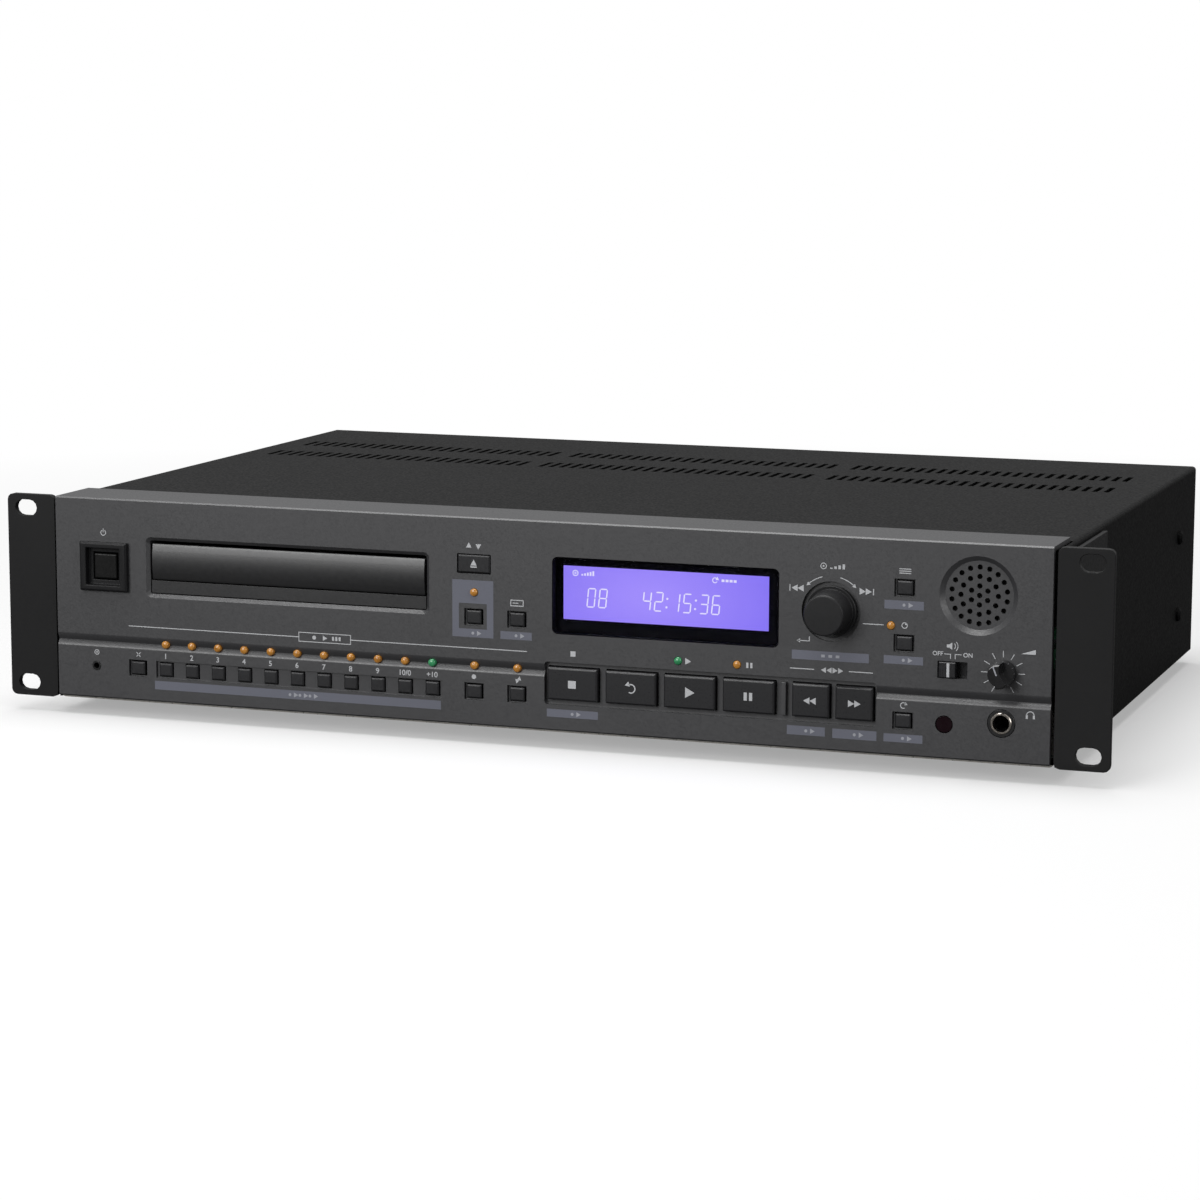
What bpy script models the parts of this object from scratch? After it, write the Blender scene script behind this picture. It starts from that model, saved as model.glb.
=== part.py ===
"""Rack-mount disc player, two rack units high, as its separate pieces.

+X is to the right seen from the front, -Y is the front and +Z is up.  The origin is
under the middle of the unit, on the surface that its feet stand on.
"""

import math
from collections import namedtuple

import bmesh
import bpy
import numpy as np
from mathutils import Vector

MM = 0.001

# The whole unit.
UNIT_HEIGHT = 88.0 * MM
CASE_WIDTH = 439.2 * MM
CASE_DEPTH = 296.5 * MM
EAR_STANDOUT = 21.7 * MM
FOOT_HEIGHT = 6.6 * MM

# Gaps between pieces that touch, and how far a cutter passes the wall it cuts.
FIT = 0.3 * MM
OVERRUN = 2.0 * MM
OVERLAP = 0.4 * MM
WELD = 0.001 * MM

# Sheet metal of the case.
COVER_WALL = 1.0 * MM
COVER_DROP = 1.6 * MM
COVER_BEND = 1.6 * MM
BASE_WALL = 1.0 * MM
BASE_HEADROOM = 2.0 * MM
REAR_INSET = 6.0 * MM
REAR_WALL = 1.2 * MM

# Front panel: a thick face with a groove along it, a hood on top and a lip below.
PANEL_PROUD = 1.25 * MM
PANEL_WALL = 3.6 * MM
PANEL_GAP = 1.3 * MM
PANEL_EDGE = 0.6 * MM
HOOD_DEPTH = 30.0 * MM
HOOD_WALL = 2.0 * MM
LIP_DEPTH = 12.0 * MM
GROOVE_HALF = 2.45 * MM
GROOVE_DEPTH = 1.2 * MM

# Rack ears.
EAR_LAP = 0.8 * MM
EAR_PLATE = 3.0 * MM
EAR_CORNER = 2.6 * MM
EAR_FLANGE_WALL = 2.0 * MM
EAR_FLANGE_DEPTH = 78.0 * MM
EAR_FLANGE_DROP = 4.0 * MM
RACK_SLOT_LENGTH = 10.5 * MM
RACK_SLOT_HEIGHT = 7.0 * MM
RACK_SLOT_INSET = 8.75 * MM
RACK_SLOT_RISE = 5.9 * MM

# Keys: caps in sunk wells, with a flange behind the panel and a stem to the switch.
KEY_WIDTH = 6.4 * MM
KEY_HEIGHT = 5.6 * MM
NUMBER_KEY_WIDTH = 5.9 * MM
KEY_PROUD = 0.3 * MM
KEY_BEVEL = 0.5 * MM
KEY_CLEAR = 0.4 * MM
KEY_TRAVEL = 0.6 * MM
KEY_FLANGE = 0.9 * MM
KEY_FLANGE_WALL = 1.0 * MM
KEY_STEM = 2.6 * MM
WELL_SIDE_MARGIN = 1.15 * MM
WELL_END_MARGIN = 0.8 * MM
WELL_DEPTH = 1.3 * MM
OPEN_KEY_WIDTH = 14.2 * MM
OPEN_KEY_HEIGHT = 7.4 * MM
BIG_KEY_SPACING = 3.53 * MM
SEARCH_KEY_SPACING = 2.6 * MM
BIG_KEY_HEIGHT = 13.45 * MM
BIG_KEY_PROUD = 0.6 * MM
BIG_KEY_BEVEL = 0.6 * MM
BIG_KEY_TRAVEL = 1.0 * MM
CHANNEL_SIDE_MARGIN = 1.6 * MM
CHANNEL_END_MARGIN = 0.9 * MM
CHANNEL_DEPTH = 1.0 * MM
BIG_WELL_SIDE_MARGIN = 1.45 * MM
BIG_WELL_END_MARGIN = 2.2 * MM
BIG_WELL_DEPTH = 2.2 * MM
BIG_WELL_CORNER = 1.5 * MM

# Power key and its bezel.
POWER_KEY_SIZE = 11.0 * MM
POWER_KEY_PROUD = 0.6 * MM
POWER_TRAVEL = 2.0 * MM
POWER_BEZEL_WIDTH = 22.4 * MM
POWER_BEZEL_HEIGHT = 21.3 * MM
POWER_BEZEL_PROUD = 2.5 * MM
POWER_BEZEL_EDGE = 0.7 * MM
POWER_BEZEL_MOUTH = 16.0 * MM
POWER_BEZEL_SINK = 3.3 * MM
POWER_SLEEVE_WALL = 1.2 * MM
POWER_SLEEVE_LENGTH = 1.0 * MM

# Control board behind the panel, and the switch bodies on it.
BOARD_STANDOFF = 8.0 * MM
BOARD_WALL = 1.6 * MM
SWITCH_BODY = 6.0 * MM
SWITCH_HEIGHT = 3.5 * MM
BOSS_RADIUS = 2.6 * MM

# Drive bay: a front sill, the tray's door above it and the tray behind.
DISC_DIAMETER = 120.0 * MM
DISC_CLEAR = 0.7 * MM
SMALL_DISC_DIAMETER = 80.0 * MM
TRAY_RIM = 1.8 * MM
TRAY_HEIGHT = 7.5 * MM
TRAY_FLOOR = 1.5 * MM
TRAY_WELL_DEPTH = 2.8 * MM
TRAY_SMALL_WELL_DEPTH = 1.0 * MM
TRAY_FRONT_MARGIN = 6.0 * MM
TRAY_REAR_MARGIN = 30.0 * MM
TRAY_TRAVEL = 135.0 * MM
DOOR_HEIGHT = 15.4 * MM
DOOR_OVERHANG = 0.3 * MM
DOOR_WALL = 3.0 * MM
DOOR_SINK = 0.7 * MM
DOOR_CROWN = 0.8 * MM
DOOR_GAP = 0.9 * MM
SILL_HEIGHT = 5.3 * MM
SILL_GAP = 0.5 * MM
BAY_MARGIN = 44.3 * MM
BAY_FRAME_MARGIN = 1.5 * MM
BAY_FRAME_DEPTH = 1.4 * MM
BAY_CORNER = 1.8 * MM

# Tray drive: straight rack under the tray, toothed wheel on an upright pin.
TOOTH_MODULE = 1.0 * MM
GEAR_TEETH = 14
GEAR_HEIGHT = 2.9 * MM
GEAR_BACKLASH = 0.28 * MM
RACK_BODY = 2.2 * MM
RACK_SIDE_CLEAR = 0.6 * MM
GEAR_SETBACK = 16.0 * MM

# Places on the panel, as shares of its width and of the unit's height. Across the panel
# the drive bay keeps its own width, so what stands beside it shares out what is left.
BAY_LEFT_SHARE = -0.3981
BAY_RIGHT_SHARE = -0.1053
GROOVE_HEIGHT_SHARE = 0.2983
KEY_ROW_SHARE = 0.1750
UPPER_KEY_ROW_SHARE = 0.5284
LEFT_KEY_COLUMN_SHARE = -0.0561
RIGHT_KEY_COLUMN_SHARE = -0.0124
FAR_KEY_COLUMN_SHARE = 0.3639
FIRST_NUMBER_SHARE = -0.3818
LAST_NUMBER_SHARE = -0.0993
BIG_KEY_ROW_SHARE = 0.2386
POWER_SHARES = (-0.4464, 0.6670)
BAY_HEIGHT_SHARE = 0.6744
WINDOW_HEIGHT_SHARE = 0.6534
JOG_SHARES = (0.2947, 0.6534)
SPEAKER_SHARES = (0.4321, 0.7625)
SLIDE_SWITCH_SHARES = (0.4092, 0.4210)
LEVEL_SHARES = (0.4559, 0.4227)
INFRARED_SHARES = (0.4023, 0.1716)
PHONES_SHARES = (0.4552, 0.1932)
REMOTE_SHARES = (-0.4577, 0.1739)

# Single small keys, as shares of the panel's width and the unit's height.
SMALL_KEY_SHARES = {
    "clear_button": (-0.4120, KEY_ROW_SHARE),
    "cue_button": (LEFT_KEY_COLUMN_SHARE, KEY_ROW_SHARE),
    "flash_button": (RIGHT_KEY_COLUMN_SHARE, KEY_ROW_SHARE),
    "play_mode_button": (FAR_KEY_COLUMN_SHARE, KEY_ROW_SHARE),
    "shift_button": (LEFT_KEY_COLUMN_SHARE, UPPER_KEY_ROW_SHARE),
    "display_button": (RIGHT_KEY_COLUMN_SHARE, UPPER_KEY_ROW_SHARE),
    "jog_button": (FAR_KEY_COLUMN_SHARE, UPPER_KEY_ROW_SHARE),
    "menu_button": (FAR_KEY_COLUMN_SHARE, 0.7807),
}
OPEN_KEY_SHARES = (LEFT_KEY_COLUMN_SHARE, 0.7801)
BIG_KEY_SHARES = {
    "stop_button": 0.0434,
    "call_button": 0.1014,
    "play_button": 0.1591,
    "pause_button": 0.2166,
}
SEARCH_KEY_SHARES = {
    "search_back_button": 0.2763,
    "search_forward_button": 0.3177,
}
NUMBER_KEYS = ("1", "2", "3", "4", "5", "6", "7", "8", "9", "10", "plus_10")
LONE_LAMP_SHARES = (
    (LEFT_KEY_COLUMN_SHARE, 0.6455),
    (0.1478, 0.3830),
    (0.2053, 0.3830),
    (0.3513, 0.6068),
)

# Planes and edges that the pieces share.
JOG_LENGTH = 11.5 * MM
HALF_CASE = CASE_WIDTH / 2
BOTTOM = FOOT_HEIGHT
TOP = BOTTOM + UNIT_HEIGHT
EAR_FRONT = (PANEL_PROUD + JOG_LENGTH - CASE_DEPTH) / 2
CASE_REAR = EAR_FRONT + CASE_DEPTH
PANEL_FRONT = EAR_FRONT - PANEL_PROUD
PANEL_BACK = PANEL_FRONT + PANEL_WALL
HOOD_REAR = PANEL_FRONT + HOOD_DEPTH
PANEL_WIDTH = CASE_WIDTH - 2 * (EAR_LAP + PANEL_GAP)
PANEL_BOTTOM = BOTTOM + BASE_WALL + FIT
FLOOR_TOP = BOTTOM + BASE_WALL
COVER_TOP = TOP - COVER_DROP
BASE_HALF = HALF_CASE - COVER_WALL - FIT
BASE_TOP = COVER_TOP - COVER_WALL - BASE_HEADROOM
BOARD_FRONT = PANEL_BACK + BOARD_STANDOFF
GROOVE_HEIGHT = BOTTOM + GROOVE_HEIGHT_SHARE * UNIT_HEIGHT
REAR_FACE = CASE_REAR - REAR_INSET
TRAY_HALF = DISC_DIAMETER / 2 + DISC_CLEAR + TRAY_RIM
DOOR_WIDTH = 2 * (TRAY_HALF + DOOR_OVERHANG)
BAY_WIDTH = DOOR_WIDTH + 2 * DOOR_GAP
BAY_LEFT = BAY_MARGIN - PANEL_WIDTH / 2
BAY_RIGHT = BAY_LEFT + BAY_WIDTH


def across(share):
    """Place across the panel: left of the bay, in front of it or right of it."""
    shares = (-0.5, BAY_LEFT_SHARE, BAY_RIGHT_SHARE, 0.5)
    edges = (-PANEL_WIDTH / 2, BAY_LEFT, BAY_RIGHT, PANEL_WIDTH / 2)
    return float(np.interp(share, shares, edges))


def spot(shares):
    """Place on the panel's face, as x and z."""
    return across(shares[0]), BOTTOM + shares[1] * UNIT_HEIGHT


def clear_scene():
    for item in list(bpy.data.objects):
        bpy.data.objects.remove(item, do_unlink=True)


def finish_material(name, colour, roughness, metallic=0.0):
    material = bpy.data.materials.new(name)
    material.use_nodes = True
    shader = material.node_tree.nodes["Principled BSDF"]
    shader.inputs["Base Color"].default_value = (*colour, 1.0)
    shader.inputs["Roughness"].default_value = roughness
    shader.inputs["Metallic"].default_value = metallic
    return material


def dark_panel_paint():
    return finish_material("panel_paint", (0.055, 0.055, 0.058), 0.55)


def black_steel():
    return finish_material("black_steel", (0.022, 0.022, 0.024), 0.6)


def key_plastic():
    return finish_material("key_plastic", (0.024, 0.024, 0.026), 0.45)


def gloss_black():
    return finish_material("gloss_black", (0.010, 0.010, 0.012), 0.15)


def black_rubber():
    return finish_material("black_rubber", (0.015, 0.015, 0.015), 0.85)


def bright_metal():
    return finish_material("bright_metal", (0.62, 0.60, 0.57), 0.28, 1.0)


def grey_plastic():
    return finish_material("grey_plastic", (0.09, 0.09, 0.10), 0.55)


def board_green():
    return finish_material("board_green", (0.02, 0.10, 0.05), 0.5)


def window_tint():
    return finish_material("window_tint", (0.010, 0.010, 0.020), 0.08)


def infrared_tint():
    return finish_material("infrared_tint", (0.030, 0.004, 0.010), 0.1)


def lit_display():
    return finish_material("lit_display", (0.27, 0.20, 0.95), 0.3)


def white_plastic():
    return finish_material("white_plastic", (0.70, 0.70, 0.68), 0.5)


def place(axis, across, up, along):
    """Point whose third size runs along the named axis."""
    if axis == "X":
        return Vector((along, across, up))
    if axis == "Y":
        return Vector((across, along, up))
    return Vector((across, up, along))


def rectangle(width, height, corner=0.0, steps=3):
    """Outline of a rectangle round the origin, with rounded corners if asked."""
    half_width, half_height = width / 2, height / 2
    signs = ((1, 1), (-1, 1), (-1, -1), (1, -1))
    if not corner:
        return [(a * half_width, b * half_height) for a, b in signs]
    outline = []
    for quarter, (a, b) in enumerate(signs):
        centre_across = a * (half_width - corner)
        centre_up = b * (half_height - corner)
        for step in range(steps + 1):
            angle = math.pi / 2 * (quarter + step / steps)
            outline.append((centre_across + corner * math.cos(angle),
                            centre_up + corner * math.sin(angle)))
    return outline


def circle(radius, sides):
    turn = 2 * math.pi / sides
    return [(radius * math.cos(turn * n), radius * math.sin(turn * n)) for n in range(sides)]


def moved(outline, across, up):
    return [(a + across, b + up) for a, b in outline]


def loft(bm, axis, sections):
    """Closed skin through outlines of as many points each, at places along an axis."""
    rings = []
    for along, outline in sections:
        rings.append([bm.verts.new(place(axis, a, b, along)) for a, b in outline])
    for near, far in zip(rings, rings[1:]):
        for n in range(len(near)):
            m = (n + 1) % len(near)
            bm.faces.new((near[n], near[m], far[m], far[n]))
    caps = (bm.faces.new(rings[0]), bm.faces.new(rings[-1]))
    skin = {face for vert in sum(rings, []) for face in vert.link_faces}
    bmesh.ops.recalc_face_normals(bm, faces=list(skin | set(caps)))


def prism(bm, axis, outline, start, end):
    """Straight extrusion of an outline."""
    face = bm.faces.new([bm.verts.new(place(axis, a, b, start)) for a, b in outline])
    grown = bmesh.ops.extrude_face_region(bm, geom=[face], use_keep_orig=True)["geom"]
    verts = [item for item in grown if isinstance(item, bmesh.types.BMVert)]
    bmesh.ops.translate(bm, verts=verts, vec=place(axis, 0, 0, end - start))
    skin = {near for vert in list(face.verts) + verts for near in vert.link_faces}
    bmesh.ops.recalc_face_normals(bm, faces=list(skin))


def turned(bm, axis, profile, sides, centre=(0.0, 0.0), ring=False):
    """Revolve (radius, along) points round an axis through a centre."""
    old = set(bm.verts)
    verts = [bm.verts.new(place(axis, r, 0, along)) for r, along in profile]
    edges = [bm.edges.new(pair) for pair in zip(verts, verts[1:])]
    if ring:
        edges.append(bm.edges.new((verts[-1], verts[0])))
    bmesh.ops.spin(bm, geom=verts + edges, axis=place(axis, 0, 0, 1), cent=(0, 0, 0),
                   angle=2 * math.pi, steps=sides, use_merge=True)
    fresh = [vert for vert in bm.verts if vert not in old]
    bmesh.ops.remove_doubles(bm, verts=fresh, dist=WELD)
    fresh = [vert for vert in bm.verts if vert not in old]
    bmesh.ops.translate(bm, verts=fresh, vec=place(axis, centre[0], centre[1], 0))
    skin = {face for vert in fresh for face in vert.link_faces}
    bmesh.ops.recalc_face_normals(bm, faces=list(skin))


def block(bm, low, high):
    """Rectangular solid between two corners."""
    outline = [(low[0], low[2]), (high[0], low[2]), (high[0], high[2]), (low[0], high[2])]
    prism(bm, "Y", outline, low[1], high[1])


def add_piece(name, bm, material, location=(0.0, 0.0, 0.0), smooth=False):
    """Object of one sub-part from its bmesh."""
    mesh = bpy.data.meshes.new(name)
    bm.to_mesh(mesh)
    bm.free()
    mesh.materials.append(material)
    if smooth:
        mesh.shade_smooth()
        mesh.set_sharp_from_angle(angle=math.radians(35))
    piece = bpy.data.objects.new(name, mesh)
    piece.location = location
    bpy.context.scene.collection.objects.link(piece)
    return piece


def combine(piece, operation, label, bm):
    """Cut a piece with, or join to it, a hidden shape in the piece's own axes."""
    mesh = bpy.data.meshes.new(label)
    bm.to_mesh(mesh)
    bm.free()
    tool = bpy.data.objects.new(label, mesh)
    tool.location = piece.location
    tool.hide_render = True
    tool.display_type = "WIRE"
    bpy.context.scene.collection.objects.link(tool)
    step = piece.modifiers.new(label, "BOOLEAN")
    step.operation = operation
    step.solver = "EXACT"
    step.object = tool


Key = namedtuple("Key", "name x z width height proud bevel travel")


def number_x(index):
    """Middle of a number key, counted from the left."""
    step = (LAST_NUMBER_SHARE - FIRST_NUMBER_SHARE) / (len(NUMBER_KEYS) - 1)
    return spot((FIRST_NUMBER_SHARE + index * step, KEY_ROW_SHARE))[0]


def small_keys():
    for name, shares in SMALL_KEY_SHARES.items():
        x, z = spot(shares)
        yield Key(name, x, z, KEY_WIDTH, KEY_HEIGHT, KEY_PROUD, KEY_BEVEL, KEY_TRAVEL)


def number_keys():
    z = spot((0, KEY_ROW_SHARE))[1]
    for index, label in enumerate(NUMBER_KEYS):
        yield Key("number_" + label + "_button", number_x(index), z, NUMBER_KEY_WIDTH,
                  KEY_HEIGHT, KEY_PROUD, KEY_BEVEL, KEY_TRAVEL)


def big_keys():
    rows = ((BIG_KEY_SHARES, BIG_KEY_SPACING), (SEARCH_KEY_SHARES, SEARCH_KEY_SPACING))
    for shares, spacing in rows:
        first, second = list(shares.values())[:2]
        width = across(second) - across(first) - spacing
        for name, share in shares.items():
            x, z = spot((share, BIG_KEY_ROW_SHARE))
            yield Key(name, x, z, width, BIG_KEY_HEIGHT, BIG_KEY_PROUD, BIG_KEY_BEVEL,
                      BIG_KEY_TRAVEL)


def open_key():
    x, z = spot(OPEN_KEY_SHARES)
    return Key("open_close_button", x, z, OPEN_KEY_WIDTH, OPEN_KEY_HEIGHT, KEY_PROUD,
               KEY_BEVEL, KEY_TRAVEL)


def all_keys():
    return [*small_keys(), *number_keys(), *big_keys(), open_key()]


# Lamps: round lenses that pass the panel and stand on the control board.
LAMP_RADIUS = 1.5 * MM
LAMP_PROUD = 0.9 * MM
LAMP_SHOULDER = 0.5 * MM
LAMP_TIP_SHARE = 0.55
LAMP_SIDES = 8


def lamp_places():
    """Row of lamps in the groove, above the keys, and the single ones."""
    row = [(number_x(index), GROOVE_HEIGHT) for index in range(len(NUMBER_KEYS))]
    for share in (LEFT_KEY_COLUMN_SHARE, RIGHT_KEY_COLUMN_SHARE):
        row.append((spot((share, 0))[0], GROOVE_HEIGHT))
    return row + [spot(shares) for shares in LONE_LAMP_SHARES]


def lamp_rods():
    """Lamps as rods whose feet are in the control board."""
    front = PANEL_FRONT - LAMP_PROUD
    profile = [
        (0, front),
        (LAMP_TIP_SHARE * LAMP_RADIUS, front),
        (LAMP_RADIUS, front + LAMP_SHOULDER),
        (LAMP_RADIUS, BOARD_FRONT + OVERLAP),
        (0, BOARD_FRONT + OVERLAP),
    ]
    bm = bmesh.new()
    for centre in lamp_places():
        turned(bm, "Y", profile, LAMP_SIDES, centre)
    return bm


# Drive bay opening in the panel: sill, door and their gaps, one above the other.
BAY_X = BAY_LEFT + BAY_WIDTH / 2
BAY_Z = BOTTOM + BAY_HEIGHT_SHARE * UNIT_HEIGHT
BAY_HEIGHT = DOOR_HEIGHT + SILL_HEIGHT + SILL_GAP + 2 * DOOR_GAP
BAY_BOTTOM = BAY_Z - BAY_HEIGHT / 2
SILL_BOTTOM = BAY_BOTTOM + DOOR_GAP / 2
SILL_TOP = SILL_BOTTOM + SILL_HEIGHT
DOOR_BOTTOM = SILL_TOP + SILL_GAP
DOOR_TOP = DOOR_BOTTOM + DOOR_HEIGHT
DOOR_FRONT = PANEL_FRONT + DOOR_SINK

# Display window between the keys and the jog knob, clear of its hole by a fit all round.
WINDOW_LEFT_MARGIN = 12.1 * MM
WINDOW_RIGHT_MARGIN = 9.45 * MM
WINDOW_HEIGHT = 32.0 * MM
WINDOW_CORNER = 2.4 * MM
WINDOW_SINK = 0.2 * MM
WINDOW_FLANGE = 2.0 * MM
WINDOW_FLANGE_WALL = 1.2 * MM

JOG_RECESS_RADIUS = 12.15 * MM
WINDOW_LEFT = across(RIGHT_KEY_COLUMN_SHARE) + KEY_WIDTH / 2 + WINDOW_LEFT_MARGIN
WINDOW_RIGHT = across(JOG_SHARES[0]) - JOG_RECESS_RADIUS - WINDOW_RIGHT_MARGIN
WINDOW_WIDTH = WINDOW_RIGHT - WINDOW_LEFT
WINDOW_SPOT = ((WINDOW_LEFT + WINDOW_RIGHT) / 2, BOTTOM + WINDOW_HEIGHT_SHARE * UNIT_HEIGHT)

# Round features of the panel.
JOG_RECESS_DEPTH = 1.8 * MM
JOG_SHAFT_RADIUS = 3.0 * MM
JOG_COLLAR_RADIUS = 4.5 * MM
GRILLE_RIM_RADIUS = 15.75 * MM
GRILLE_RADIUS = 13.75 * MM
GRILLE_SINK = 1.6 * MM
GRILLE_HOLE_RADIUS = 0.95 * MM
GRILLE_HOLE_SIDES = 8
GRILLE_RING_STEP = 3.75 * MM
GRILLE_RINGS = 3
LEVEL_SHAFT_RADIUS = 3.0 * MM
INFRARED_RADIUS = 3.6 * MM
PHONES_RIM_RADIUS = 5.7 * MM
PHONES_BUSH_RADIUS = 4.9 * MM
PHONES_RIM_DEPTH = 1.2 * MM
REMOTE_RADIUS = 2.1 * MM
SLIDE_MOUTH_WIDTH = 12.1 * MM
SLIDE_MOUTH_HEIGHT = 6.9 * MM
FINE_SIDES = 32
COARSE_SIDES = 16

# Bosses behind the panel that carry the control board.
BOSS_SHARES = (
    (-0.4276, 0.4773), (-0.4598, 0.3409), (-0.3103, 0.3700), (-0.1379, 0.3700),
    (0.0690, 0.3700), (0.3333, 0.3750), (-0.0345, 0.6591), (0.3639, 0.6591),
)


def panel_profile():
    """Side view of the panel as y and z: hood, face with its groove, and lip."""
    rear = PANEL_FRONT + LIP_DEPTH
    eased = PANEL_FRONT + PANEL_EDGE
    return [
        (eased, PANEL_BOTTOM),
        (rear, PANEL_BOTTOM),
        (rear, PANEL_BOTTOM + HOOD_WALL),
        (PANEL_BACK, PANEL_BOTTOM + HOOD_WALL),
        (PANEL_BACK, TOP - HOOD_WALL),
        (HOOD_REAR, TOP - HOOD_WALL),
        (HOOD_REAR, TOP),
        (eased, TOP),
        (PANEL_FRONT, TOP - PANEL_EDGE),
        (PANEL_FRONT, GROOVE_HEIGHT + GROOVE_HALF),
        (PANEL_FRONT + GROOVE_DEPTH, GROOVE_HEIGHT),
        (PANEL_FRONT, GROOVE_HEIGHT - GROOVE_HALF),
        (PANEL_FRONT, PANEL_BOTTOM + PANEL_EDGE),
    ]


def sunk_prism(bm, outline, depth):
    """Cutter for a recess of a depth in the panel's face."""
    prism(bm, "Y", outline, PANEL_FRONT - OVERRUN, PANEL_FRONT + depth)


def through_prism(bm, outline):
    prism(bm, "Y", outline, PANEL_FRONT - OVERRUN, PANEL_BACK + OVERRUN)


def span(keys, side_margin, end_margin, corner=0.0):
    """Outline round a row of keys."""
    left = min(key.x - key.width / 2 for key in keys) - side_margin
    right = max(key.x + key.width / 2 for key in keys) + side_margin
    outline = rectangle(right - left, keys[0].height + 2 * end_margin, corner)
    return moved(outline, (left + right) / 2, keys[0].z)


def panel_recesses():
    bm = bmesh.new()
    for key in small_keys():
        sunk_prism(bm, span([key], WELL_SIDE_MARGIN, WELL_END_MARGIN), WELL_DEPTH)
    channel = span(list(number_keys()), CHANNEL_SIDE_MARGIN, CHANNEL_END_MARGIN)
    sunk_prism(bm, channel, CHANNEL_DEPTH)
    well = span(list(big_keys()), BIG_WELL_SIDE_MARGIN, BIG_WELL_END_MARGIN, BIG_WELL_CORNER)
    sunk_prism(bm, well, BIG_WELL_DEPTH)
    mouth = 2 * BAY_FRAME_MARGIN
    slope = mouth / BAY_FRAME_DEPTH * OVERRUN
    loft(bm, "Y", [
        (PANEL_FRONT - OVERRUN,
         moved(rectangle(BAY_WIDTH + mouth + slope, BAY_HEIGHT + mouth + slope, BAY_CORNER),
               BAY_X, BAY_Z)),
        (PANEL_FRONT + BAY_FRAME_DEPTH,
         moved(rectangle(BAY_WIDTH, BAY_HEIGHT, BAY_CORNER / 2), BAY_X, BAY_Z)),
    ])
    for shares, rim, floor, depth in (
            (JOG_SHARES, JOG_RECESS_RADIUS, JOG_RECESS_RADIUS, JOG_RECESS_DEPTH),
            (SPEAKER_SHARES, GRILLE_RIM_RADIUS, GRILLE_RADIUS, GRILLE_SINK),
            (PHONES_SHARES, PHONES_RIM_RADIUS, PHONES_RIM_RADIUS, PHONES_RIM_DEPTH)):
        grown = rim + (rim - floor) / depth * OVERRUN
        loft(bm, "Y", [
            (PANEL_FRONT - OVERRUN, moved(circle(grown, FINE_SIDES), *spot(shares))),
            (PANEL_FRONT + depth, moved(circle(floor, FINE_SIDES), *spot(shares))),
        ])
    return bm


def panel_holes():
    bm = bmesh.new()
    for key in all_keys():
        through_prism(bm, span([key], KEY_CLEAR, KEY_CLEAR))
    for x, z in lamp_places():
        through_prism(bm, moved(circle(LAMP_RADIUS + FIT, LAMP_SIDES), x, z))
    through_prism(bm, moved(rectangle(BAY_WIDTH, BAY_HEIGHT, BAY_CORNER / 2), BAY_X, BAY_Z))
    window = rectangle(WINDOW_WIDTH, WINDOW_HEIGHT, WINDOW_CORNER)
    through_prism(bm, moved(window, *WINDOW_SPOT))
    sleeve = rectangle(power_sleeve(POWER_BEZEL_MOUTH) + 2 * FIT,
                       power_sleeve(POWER_BEZEL_MOUTH) + 2 * FIT)
    through_prism(bm, moved(sleeve, *spot(POWER_SHARES)))
    slide = rectangle(SLIDE_MOUTH_WIDTH, SLIDE_MOUTH_HEIGHT)
    through_prism(bm, moved(slide, *spot(SLIDE_SWITCH_SHARES)))
    for shares, radius in (
            (JOG_SHARES, JOG_COLLAR_RADIUS + FIT),
            (LEVEL_SHARES, LEVEL_SHAFT_RADIUS + FIT),
            (INFRARED_SHARES, INFRARED_RADIUS),
            (PHONES_SHARES, PHONES_BUSH_RADIUS + FIT),
            (REMOTE_SHARES, REMOTE_RADIUS)):
        through_prism(bm, moved(circle(radius, COARSE_SIDES), *spot(shares)))
    for x, z in grille_places():
        through_prism(bm, moved(circle(GRILLE_HOLE_RADIUS, GRILLE_HOLE_SIDES), x, z))
    return bm


def grille_places():
    """One hole in the middle and rings of six, twelve and eighteen round it."""
    x, z = spot(SPEAKER_SHARES)
    places = [(x, z)]
    for ring in range(1, GRILLE_RINGS + 1):
        for n in range(6 * ring):
            angle = math.pi / 2 + math.pi * n / (3 * ring)
            places.append((x + ring * GRILLE_RING_STEP * math.cos(angle),
                           z + ring * GRILLE_RING_STEP * math.sin(angle)))
    return places


def front_panel():
    bm = bmesh.new()
    prism(bm, "X", panel_profile(), -PANEL_WIDTH / 2, PANEL_WIDTH / 2)
    panel = add_piece("front_panel", bm, dark_panel_paint())
    bosses = bmesh.new()
    for shares in BOSS_SHARES:
        outline = moved(circle(BOSS_RADIUS, LAMP_SIDES), *spot(shares))
        prism(bosses, "Y", outline, PANEL_BACK - OVERLAP, BOARD_FRONT - FIT)
    combine(panel, "UNION", "panel_bosses", bosses)
    combine(panel, "DIFFERENCE", "panel_recesses", panel_recesses())
    combine(panel, "DIFFERENCE", "panel_holes", panel_holes())


def power_sleeve(mouth):
    """Outer size of the bezel's sleeve behind its flange."""
    return mouth + 2 * POWER_SLEEVE_WALL


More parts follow.
